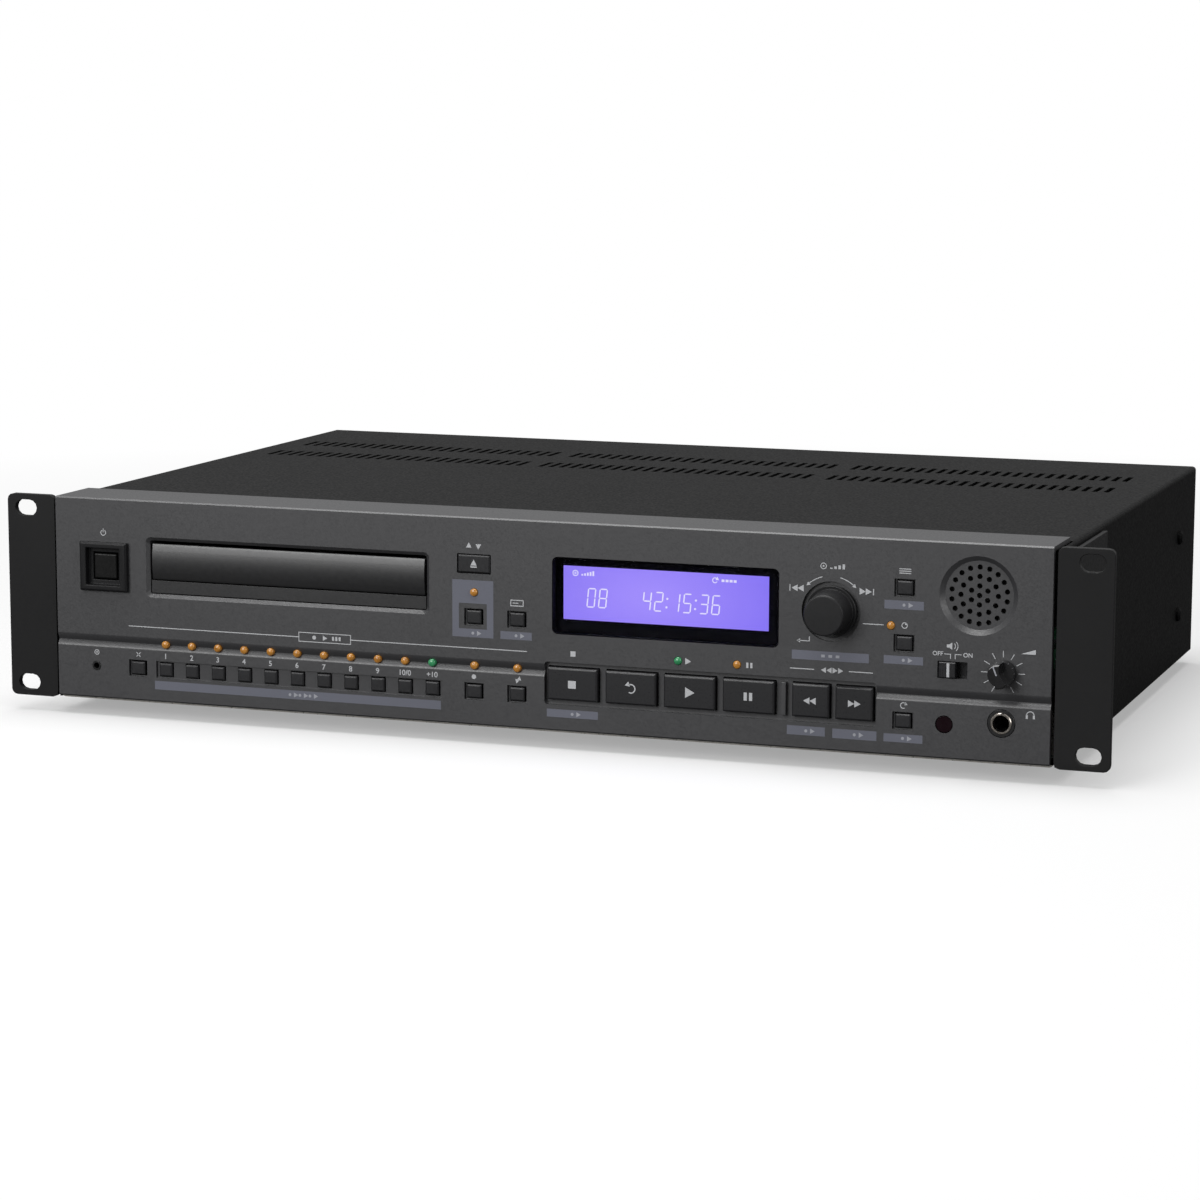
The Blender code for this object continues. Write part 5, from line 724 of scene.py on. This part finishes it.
# Keys. Moulded black caps with a worn-in satin face and softened edges, each in its well;
# white signs are printed on the larger ones. Every key moves with its own body.
def refined(node, finish, width, body, angle=25, smooth=50, segments=2):
    """Copy of a CAD node, merged and with its edges rounded, that stands for the node."""
    shape = bmesh.new()
    shape.from_mesh(nodes[node].data)
    bmesh.ops.remove_doubles(shape, verts=shape.verts, dist=0.002 * MM)
    break_edges(shape, width, angle, segments)
    piece = piece_from(shape, node + "_finished", finish, body, smooth)
    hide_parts(node)
    return piece


key_moulding = grained("key_moulding", (0.026, 0.026, 0.028), 0.36, spread=0.08,
                       grain=1600.0, bump=0.000006, shine=0.4)
big_key_moulding = grained("big_key_moulding", (0.022, 0.022, 0.024), 0.34, spread=0.08,
                           grain=1600.0, bump=0.000003)
for key in SMALL_KEYS + NUMBER_KEYS:
    refined(key, key_moulding, 0.16 * MM, key.replace("_button", "_key"))
for key in BIG_KEYS:
    refined(key, big_key_moulding, 0.22 * MM, key.replace("_button", "_key"))


def key_face(key):
    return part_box(key)[0].y


def sign_on(key, draw):
    """White sign on a key's face, drawn about the key's middle in millimetres."""
    shape = bmesh.new()
    spot = middle(key)
    draw(shape, spot.x / MM, (spot.z - BOTTOM) / MM, key_face(key))
    piece_from(shape, key.replace("_button", "_sign"), white_ink,
               key.replace("_button", "_key"))


def draw_stop(shape, x, z, y):
    strip(shape, x - 1.7, x + 1.7, z - 1.6, z + 1.6, y)


def draw_play(shape, x, z, y):
    arrow_head(shape, x, z, 4.0, 0, y)


def draw_pause(shape, x, z, y):
    strip(shape, x - 1.8, x - 0.45, z - 1.65, z + 1.65, y)
    strip(shape, x + 0.45, x + 1.8, z - 1.65, z + 1.65, y)


def draw_call(shape, x, z, y):
    arc_strip(shape, x + 0.3, z, 1.75, 0.5, -120, 120, 20, y)
    arrow_head(shape, x - 1.2, z + 1.65, 2.0, 200, y)


def draw_back(shape, x, z, y):
    arrow_head(shape, x - 1.3, z, 2.6, 180, y)
    arrow_head(shape, x + 1.3, z, 2.6, 180, y)


def draw_forward(shape, x, z, y):
    arrow_head(shape, x - 1.3, z, 2.6, 0, y)
    arrow_head(shape, x + 1.3, z, 2.6, 0, y)


def draw_eject(shape, x, z, y):
    arrow_head(shape, x, z + 0.35, 2.5, 90, y)
    strip(shape, x - 1.4, x + 1.4, z - 1.55, z - 1.0, y)


sign_on("stop_button", draw_stop)
sign_on("play_button", draw_play)
sign_on("pause_button", draw_pause)
sign_on("call_button", draw_call)
sign_on("search_back_button", draw_back)
sign_on("search_forward_button", draw_forward)
sign_on("open_close_button", draw_eject)


# Power switch. A square moulded bezel stands proud of the panel round a sunk square key.
bezel_moulding = grained("bezel_moulding", (0.009, 0.009, 0.010), 0.40, spread=0.08,
                         grain=1600.0, bump=0.000005, shine=0.3)
refined("power_bezel", bezel_moulding, 0.35 * MM, "case")
power_key_moulding = grained("power_key_moulding", (0.007, 0.007, 0.007), 0.36, spread=0.1,
                             grain=1600.0, bump=0.000005, shine=0.25)
refined("power_button", power_key_moulding, 0.4 * MM, "power_key")


# Display. A violet-backlit liquid crystal panel in a dark frame, behind a pane of smoked
# acrylic that is let into the panel; the figures are segments lit paler than the ground.
SCREEN_Y = PANEL_BACK + 1.2 * MM
SCREEN_X0, SCREEN_X1 = 13.4, 101.15
SCREEN_V0, SCREEN_V1 = 47.3, 69.5
SEGMENTS = {"0": "abcdef", "1": "bc", "2": "abged", "3": "abgcd", "4": "fgbc",
            "5": "afgcd", "6": "afgedc", "7": "abc", "8": "abcdefg", "9": "abcdfg"}


def smoked_acrylic():
    finish = bpy.data.materials.new("smoked_acrylic")
    finish.use_nodes = True
    tree = finish.node_tree
    shader = tree.nodes["Principled BSDF"]
    shader.inputs["Transmission Weight"].default_value = 1.0
    shader.inputs["IOR"].default_value = 1.12
    coords = add_node(tree, "TexCoord")
    smears = add_node(tree, "TexNoise")
    smears.inputs["Scale"].default_value = 60.0
    gloss = add_node(tree, "MapRange")
    gloss.inputs["To Min"].default_value = 0.01
    gloss.inputs["To Max"].default_value = 0.05
    tint = add_node(tree, "ValToRGB")
    tint.color_ramp.elements[0].color = (0.80, 0.80, 0.84, 1.0)
    tint.color_ramp.elements[1].color = (0.86, 0.86, 0.90, 1.0)
    wire(coords, "Object", smears, "Vector")
    wire(smears, "Fac", gloss, "Value")
    wire(gloss, "Result", shader, "Roughness")
    wire(smears, "Fac", tint, "Fac")
    wire(tint, "Color", shader, "Base Color")
    return finish


def lit_ground(name, centre, rim, strength):
    """Backlight that is strongest in the middle and falls off towards the ends."""
    finish = bpy.data.materials.new(name)
    finish.use_nodes = True
    tree = finish.node_tree
    shader = tree.nodes["Principled BSDF"]
    shader.inputs["Roughness"].default_value = 0.3
    shader.inputs["Emission Strength"].default_value = strength
    coords = add_node(tree, "TexCoord")
    fit = add_node(tree, "Mapping")
    width = (SCREEN_X1 - SCREEN_X0) * MM
    tall = (SCREEN_V1 - SCREEN_V0) * MM
    fit.vector_type = "TEXTURE"
    fit.inputs["Location"].default_value = (
        (SCREEN_X0 + 0.42 * (SCREEN_X1 - SCREEN_X0)) * MM, SCREEN_Y,
        (SCREEN_V0 + 0.5 * (SCREEN_V1 - SCREEN_V0)) * MM + BOTTOM)
    fit.inputs["Scale"].default_value = (width * 0.75, MM * 50, tall * 1.5)
    glow = add_node(tree, "TexGradient")
    glow.gradient_type = "SPHERICAL"
    ramp = add_node(tree, "ValToRGB")
    ramp.color_ramp.elements[0].color = (*rim, 1.0)
    ramp.color_ramp.elements[1].position = 0.9
    ramp.color_ramp.elements[1].color = (*centre, 1.0)
    wire(coords, "Object", fit, "Vector")
    wire(fit, "Vector", glow, "Vector")
    wire(glow, "Fac", ramp, "Fac")
    shader.inputs["Base Color"].default_value = (0.02, 0.015, 0.05, 1.0)
    wire(ramp, "Color", shader, "Emission Color")
    return finish


def segment_figure(shape, figure, left, low, width, tall, y):
    """Seven-segment figure with slanted, pointed segments."""
    thick = 0.5
    gap = 0.12
    slant = 0.10
    mid = tall / 2

    def bar(x0, z0, x1, z1):
        run = Vector((x1 - x0, z1 - z0))
        along = run.normalized()
        across = Vector((-along.y, along.x)) * thick / 2
        a = Vector((x0, z0)) + along * gap
        b = Vector((x1, z1)) - along * gap
        tip = along * thick / 2
        points = [a, a + tip - across, b - tip - across, b, b - tip + across, a + tip + across]
        film(shape, [((left + p.x + slant * p.y) * MM, (low + p.y) * MM + BOTTOM)
                     for p in points], y)

    places = {"a": (0, tall, width, tall), "g": (0, mid, width, mid), "d": (0, 0, width, 0),
              "f": (0, mid, 0, tall), "b": (width, mid, width, tall),
              "e": (0, 0, 0, mid), "c": (width, 0, width, mid)}
    for part in SEGMENTS[figure]:
        bar(*places[part])


screen = bmesh.new()
strip(screen, SCREEN_X0, SCREEN_X1, SCREEN_V0, SCREEN_V1, SCREEN_Y)
piece_from(screen, "lit_screen", lit_ground("lit_screen_glow", (0.36, 0.27, 1.0),
                                            (0.22, 0.16, 0.92), 1.0))
figures = bmesh.new()
FIGURE_Y = SCREEN_Y - 0.15 * MM
for figure, left in (("0", 23.6), ("8", 28.6), ("4", 47.6), ("2", 52.6), ("1", 59.8),
                     ("5", 64.8), ("3", 72.0), ("6", 77.0)):
    segment_figure(figures, figure, left, 52.9, 3.1, 7.6, FIGURE_Y)
for x in (57.6, 69.8):
    for z in (54.6, 58.1):
        dot(figures, x + 0.1 * (z - 52), z, 0.42, FIGURE_Y)
arc_strip(figures, 18.6, 66.6, 1.1, 0.35, 0, 360, 24, FIGURE_Y)
dot(figures, 18.6, 66.6, 0.4, FIGURE_Y)
for n in range(5):
    strip(figures, 21.2 + n * 1.2, 21.9 + n * 1.2, 65.7, 66.3 + n * 0.35, FIGURE_Y)
arc_strip(figures, 78.4, 66.8, 1.0, 0.35, 30, 330, 20, FIGURE_Y)
arrow_head(figures, 79.4, 67.5, 1.3, 90, FIGURE_Y)
for n in range(4):
    strip(figures, 81.2 + n * 1.7, 82.4 + n * 1.7, 66.3, 67.3, FIGURE_Y)
piece_from(figures, "lit_figures", lit_ground("lit_figures_glow", (0.86, 0.84, 1.0),
                                              (0.74, 0.72, 1.0), 1.0))
screen_frame = grained("screen_frame", (0.002, 0.002, 0.005), 0.6, spread=0.1, shine=0.1)
dress(screen_frame, "display_module")
window = refined("display_window", smoked_acrylic(), 0.15 * MM, "case")
window.data.materials.append(bezel_moulding)
for face in window.data.polygons:
    if abs(face.normal.y) < 0.5:
        face.material_index = 1


# Lamps. Clear tinted domes in the groove and beside their keys: amber ones, and green
# ones for play and the last number key. They stand on the board behind the panel.
def lamp_tint(name, deep, bright, glow):
    finish = bpy.data.materials.new(name)
    finish.use_nodes = True
    tree = finish.node_tree
    shader = tree.nodes["Principled BSDF"]
    shader.inputs["Roughness"].default_value = 0.16
    shader.inputs["Coat Weight"].default_value = 0.6
    shader.inputs["Emission Strength"].default_value = glow
    coords = add_node(tree, "TexCoord")
    cloud = add_node(tree, "TexNoise")
    cloud.inputs["Scale"].default_value = 500.0
    ramp = add_node(tree, "ValToRGB")
    ramp.color_ramp.elements[0].position = 0.35
    ramp.color_ramp.elements[0].color = (*deep, 1.0)
    ramp.color_ramp.elements[1].position = 0.65
    ramp.color_ramp.elements[1].color = (*bright, 1.0)
    wire(coords, "Object", cloud, "Vector")
    wire(cloud, "Fac", ramp, "Fac")
    wire(ramp, "Color", shader, "Base Color")
    wire(ramp, "Color", shader, "Emission Color")
    return finish


def lathe_y(shape, x, z, profile, sides):
    """Turn (radius, y) points round an axis that points out of the panel."""
    old = set(shape.verts)
    rim = [shape.verts.new((x + radius, y, z)) for radius, y in profile]
    edges = [shape.edges.new(pair) for pair in zip(rim, rim[1:])]
    bmesh.ops.spin(shape, geom=rim + edges, axis=(0, 1, 0), cent=(x, 0, z),
                   angle=2 * math.pi, steps=sides, use_merge=True)
    fresh = [vert for vert in shape.verts if vert not in old]
    bmesh.ops.remove_doubles(shape, verts=fresh, dist=0.001 * MM)


amber_tint = lamp_tint("amber_tint", (0.40, 0.16, 0.02), (0.62, 0.28, 0.05), 0.10)
green_tint = lamp_tint("green_tint", (0.02, 0.22, 0.08), (0.06, 0.36, 0.15), 0.12)
DOME = ((0.0, -1.05), (0.42, -1.02), (0.85, -0.93), (1.24, -0.76), (1.5, -0.52),
        (1.62, -0.25), (1.62, 1.2), (0.0, 1.2))
green_lamps = (10, 14)
for name, tint, wanted in (("amber_lamps", amber_tint, False), ("green_lamps", green_tint, True)):
    domes = bmesh.new()
    for n, (x, z) in enumerate(LAMP_PLACES):
        if (n in green_lamps) == wanted:
            lathe_y(domes, x, z, [(r * MM, PANEL_FRONT + y * MM) for r, y in DOME], 24)
    piece_from(domes, name, tint, smooth=40)


# Jog knob. A turned satin-black knob, slightly tapered, with a polished edge on its skirt
# and a plain front face; it sits on its encoder shaft and moves with it.
knob_satin = grained("knob_satin", (0.020, 0.020, 0.021), 0.40, spread=0.08, grain=1800.0,
                     bump=0.000002, shine=0.3)
KNOB = (
    (0.0, -11.5), (7.5, -11.5), (7.8, -11.42), (8.05, -11.25), (8.2, -10.95),
    (8.25, -10.6), (8.82, -0.75), (8.92, -0.45),
    (9.15, -0.3), (9.45, -0.3), (9.85, -0.42), (10.15, -0.42), (10.38, -0.25),
    (10.4, 0.1), (10.4, 0.6), (3.0, 0.6), (3.0, 5.88), (0.0, 5.88),
)
knob = bmesh.new()
lathe_y(knob, JOG_X, JOG_Z, [(r * MM, PANEL_FRONT + y * MM) for r, y in KNOB], 128)
jog_piece = piece_from(knob, "jog_knob_finished", knob_satin, "jog_pushing", smooth=32)
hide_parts("jog_knob")


# Level knob. A small glossy moulded knob: two scoops leave a blade to hold, and a
# printed line along the blade points to the setting.
level_gloss = grained("level_gloss", (0.012, 0.012, 0.013), 0.12, spread=0.1, grain=900.0,
                      rough_spread=0.03, shine=1.0)
LEVEL = ((0.0, -10.5), (4.1, -10.5), (4.5, -10.4), (4.8, -10.15), (4.98, -9.7), (5.4, -0.5),
         (5.35, -0.35), (5.15, -0.3), (3.0, -0.3), (3.0, 6.6), (0.0, 6.6))
LEVEL_TURN = math.radians(22)
blade = bmesh.new()
lathe_y(blade, LEVEL_X, LEVEL_Z, [(r * MM, PANEL_FRONT + y * MM) for r, y in LEVEL], 96)
scoops = bmesh.new()
for side in (-1, 1):
    reach = side * 8.2 * MM
    sweep_y(scoops, at(outline_round(7.0 * MM, 96), LEVEL_X + reach * math.cos(LEVEL_TURN),
                       LEVEL_Z + reach * math.sin(LEVEL_TURN)),
            PANEL_FRONT - 12 * MM, PANEL_FRONT - 4.5 * MM)
blade = carve(blade, scoops)
break_edges(blade, 0.3 * MM, 40, 3)
level_piece = piece_from(blade, "level_knob_finished", level_gloss, "level_control", smooth=32)
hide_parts("level_knob")
pointer = bmesh.new()
turn = math.pi / 2 + LEVEL_TURN
film(pointer, [(LEVEL_X + (a * math.cos(turn) - b * math.sin(turn)) * MM,
                LEVEL_Z + (a * math.sin(turn) + b * math.cos(turn)) * MM)
               for a, b in ((0.6, -0.28), (4.4, -0.28), (4.4, 0.28), (0.6, 0.28))],
     PANEL_FRONT + LEVEL[0][1] * MM)
piece_from(pointer, "level_pointer", pale_ink, "level_control")


# Drive. A gloss-black door on a matt tray, in a dark moulded frame whose sill shows under
# the door. Inside are a natural plastic gear, a rubber-topped turntable, a clamp puck and
# the pickup on its plated sled.
gloss_moulding = grained("gloss_moulding", (0.010, 0.010, 0.011), 0.34, spread=0.1,
                         grain=500.0, bump=0.000002, rough_spread=0.02, shine=0.9)
frame_moulding = grained("frame_moulding", (0.036, 0.036, 0.037), 0.38, spread=0.08,
                         grain=1500.0, bump=0.000008)
tray_moulding = grained("tray_moulding", (0.028, 0.028, 0.030), 0.50, spread=0.08,
                        grain=1500.0, bump=0.00002)
gear_plastic = grained("gear_plastic", (0.68, 0.66, 0.60), 0.42, spread=0.05, grain=700.0)
puck_plastic = grained("puck_plastic", (0.60, 0.60, 0.58), 0.40, spread=0.05, grain=700.0)
disc_rubber = grained("disc_rubber", (0.020, 0.020, 0.020), 0.75, grain=700.0,
                      bump=0.00003)
sled_metal = grained("sled_metal", (0.42, 0.42, 0.43), 0.38, metallic=1.0, spread=0.08)
DOOR_CROWN = 0.8 * MM


def door_shape():
    """Door with a back that is flat and a front that is crowned from top to bottom."""
    low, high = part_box("tray_front")
    rise = (high.z - low.z) / 2
    profile = [(high.y, low.z), (high.y, high.z)]
    for n in range(33):
        share = 1 - n / 16
        profile.append((low.y + DOOR_CROWN * share ** 2, low.z + rise * (1 + share)))
    shape = bmesh.new()
    sweep_x(shape, profile, low.x, high.x)
    break_edges(shape, 0.35 * MM)
    return shape


door = piece_from(door_shape(), "tray_front_finished", gloss_moulding, "tray", 30)
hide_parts("tray_front")
refined("loader_frame", frame_moulding, 0.2 * MM, "case", 40)
refined("disc_tray", tray_moulding, 0.2 * MM, "tray", 40)
dress(gear_plastic, "loading_gear")
dress(disc_rubber, "turntable")
dress(puck_plastic, "clamp_puck")
dress(sled_metal, "optical_pickup")


def glass_tint(name, deep, pale, roughness, shine=0.5):
    """Clear-coated tint whose depth drifts a little."""
    finish = grained(name, deep, roughness, spread=0.3, grain=300.0, bump=0.000002,
                     shine=shine)
    shader = finish.node_tree.nodes["Principled BSDF"]
    shader.inputs["Coat Weight"].default_value = 0.3 * shine
    shader.inputs["Coat Tint"].default_value = (*pale, 1.0)
    return finish


def lathe_z(shape, x, y, profile, sides):
    """Turn (radius, z) points round an upright axis."""
    rim = [shape.verts.new((x + radius, y, z)) for radius, z in profile]
    edges = [shape.edges.new(pair) for pair in zip(rim, rim[1:])]
    bmesh.ops.spin(shape, geom=rim + edges, axis=(0, 0, 1), cent=(x, y, 0),
                   angle=2 * math.pi, steps=sides, use_merge=True)
    bmesh.ops.remove_doubles(shape, verts=shape.verts, dist=0.001 * MM)


pickup_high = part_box("optical_pickup")[1]
lens = bmesh.new()
lathe_z(lens, middle("optical_pickup").x, pickup_high.y - 6.0 * MM,
        [(0.0, pickup_high.z + 0.9 * MM), (1.1 * MM, pickup_high.z + 0.75 * MM),
         (1.8 * MM, pickup_high.z + 0.35 * MM), (2.0 * MM, pickup_high.z - 0.1 * MM),
         (0.0, pickup_high.z - 0.1 * MM)], 32)
piece_from(lens, "pickup_lens", glass_tint("lens_glass", (0.05, 0.06, 0.12),
                                           (0.7, 0.8, 1.0), 0.08), "pickup_sled", 40)


# Boards and supply. Green lacquered boards whose tracks show as paler runs; what stands
# on them is black moulded parts. The transformer is a banded steel core round its coil.
def board_finish(name, axis, level, side):
    """Lacquered board below a level along an axis, dark moulded parts beyond it."""
    finish = bpy.data.materials.new(name)
    finish.use_nodes = True
    tree = finish.node_tree
    shader = tree.nodes["Principled BSDF"]
    coords = add_node(tree, "TexCoord")
    apart = add_node(tree, "SeparateXYZ")
    turned = add_node(tree, "Mapping")
    if axis == "Y":
        turned.inputs["Rotation"].default_value = (math.radians(90), 0, 0)
    tracks = add_node(tree, "TexBrick")
    tracks.inputs["Scale"].default_value = 60.0
    tracks.inputs["Mortar Size"].default_value = 0.03
    tracks.inputs["Color1"].default_value = (0.006, 0.040, 0.017, 1.0)
    tracks.inputs["Color2"].default_value = (0.008, 0.050, 0.022, 1.0)
    tracks.inputs["Mortar"].default_value = (0.02, 0.10, 0.045, 1.0)
    beyond = add_node(tree, "Math")
    beyond.operation = "GREATER_THAN" if side > 0 else "LESS_THAN"
    beyond.inputs[1].default_value = level
    parts = add_node(tree, "TexNoise")
    parts.inputs["Scale"].default_value = 40.0
    parts_tone = add_node(tree, "ValToRGB")
    parts_tone.color_ramp.elements[0].color = (0.012, 0.012, 0.014, 1.0)
    parts_tone.color_ramp.elements[1].color = (0.05, 0.05, 0.055, 1.0)
    pick = add_node(tree, "Mix")
    pick.data_type = "RGBA"
    gloss = add_node(tree, "MapRange")
    gloss.inputs["To Min"].default_value = 0.25
    gloss.inputs["To Max"].default_value = 0.5
    wire(coords, "Object", apart, "Vector")
    wire(coords, "Object", turned, "Vector")
    wire(coords, "Object", parts, "Vector")
    wire(turned, "Vector", tracks, "Vector")
    wire(apart, axis, beyond, 0)
    wire(parts, "Fac", parts_tone, "Fac")
    wire(parts, "Fac", gloss, "Value")
    wire(beyond, "Value", pick, "Factor")
    wire(tracks, "Color", pick, "A")
    wire(parts_tone, "Color", pick, "B")
    wire(pick, "Result", shader, "Base Color")
    wire(gloss, "Result", shader, "Roughness")
    return finish


def banded_core():
    """Stacked steel sheets, seen as fine upright bands, with a darker lacquer."""
    finish = grained("banded_core", (0.20, 0.19, 0.18), 0.45, metallic=0.8, spread=0.3,
                     grain=500.0, bump=0.00003)
    tree = finish.node_tree
    bands = add_node(tree, "TexWave")
    bands.inputs["Scale"].default_value = 350.0
    bands.bands_direction = "X"
    coords = tree.nodes["Texture Coordinate"]
    wire(coords, "Object", bands, "Vector")
    wire(bands, "Fac", tree.nodes["Bump"], "Height")
    return finish


BOARD_SIDE = PANEL_BACK + 7.9 * MM
MAIN_BOARD_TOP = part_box("main_board")[0].z + 1.7 * MM
dress(board_finish("control_laminate", "Y", BOARD_SIDE, -1), "control_board")
dress(board_finish("main_laminate", "Z", MAIN_BOARD_TOP, 1), "main_board")
dress(banded_core(), "power_transformer")


# Speaker, jacks, switch and remote window on the right of the panel. The jack has a
# nickel ferrule in a black nut; the slide switch's lever is ribbed with a white line.
cone_paper = grained("cone_paper", (0.030, 0.029, 0.028), 0.7, spread=0.15, grain=600.0,
                     bump=0.00003)
jack_moulding = grained("jack_moulding", (0.014, 0.014, 0.015), 0.35, spread=0.08)
nickel = grained("nickel", (0.66, 0.61, 0.55), 0.20, metallic=1.0, spread=0.06)
dress(cone_paper, "speaker_driver")
dress(jack_moulding, "phones_jack", "remote_jack", "jog_collar")
refined("infrared_window", glass_tint("infrared_tint", (0.008, 0.002, 0.004),
                                      (1.0, 0.55, 0.6), 0.18, 0.25), 0.1 * MM, "case")


def jack_ring(name, node, profile, finish):
    ring = bmesh.new()
    lathe_y(ring, middle(node).x, middle(node).z,
            [(r * MM, PANEL_FRONT + y * MM) for r, y in profile + profile[:1]], 64)
    piece_from(ring, name, finish, smooth=40)


jack_ring("phones_ferrule", "phones_jack",
          [(3.2, 1.2), (3.2, -0.35), (3.4, -0.62), (4.0, -0.62), (4.25, -0.4), (4.35, 0.9),
           (4.35, 1.2)], nickel)
jack_ring("phones_nut", "phones_jack",
          [(4.4, 1.15), (4.4, -0.12), (5.35, -0.12), (5.5, 0.05), (5.5, 1.15)], jack_moulding)
jack_ring("remote_ferrule", "remote_jack",
          [(1.3, 0.8), (1.3, -0.2), (1.9, -0.2), (2.0, -0.1), (2.0, 0.8)], jack_moulding)


lever_moulding = grained("lever_moulding", (0.014, 0.014, 0.016), 0.30, spread=0.08)
refined("speaker_switch_lever", lever_moulding, 0.12 * MM, "speaker_switch")
lever_low, lever_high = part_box("speaker_switch_lever")
LEVER_FACE = lever_low.y
LEVER_X = 176.45
ribs = bmesh.new()
for n in (-4, -3, -2, 2, 3, 4):
    strip(ribs, LEVER_X + n * 0.62 - 0.18, LEVER_X + n * 0.62 + 0.18, 34.3, 39.8, LEVER_FACE)
piece_from(ribs, "switch_ribs", key_moulding, "speaker_switch")
line = bmesh.new()
strip(line, LEVER_X - 0.55, LEVER_X + 0.55, 34.3, 39.8, LEVER_FACE - INK)
piece_from(line, "switch_line", white_ink, "speaker_switch")


# Ears, rear and their fittings. Black ears with softened edges, and black moulded
# sockets let into the rear panel.
for side in ("left", "right"):
    refined("rack_ear_" + side, ear_coat, 0.3 * MM, "case", 40)
socket_moulding = grained("socket_moulding", (0.016, 0.016, 0.017), 0.45, spread=0.08)
dress(socket_moulding, "ac_inlet", "output_sockets")
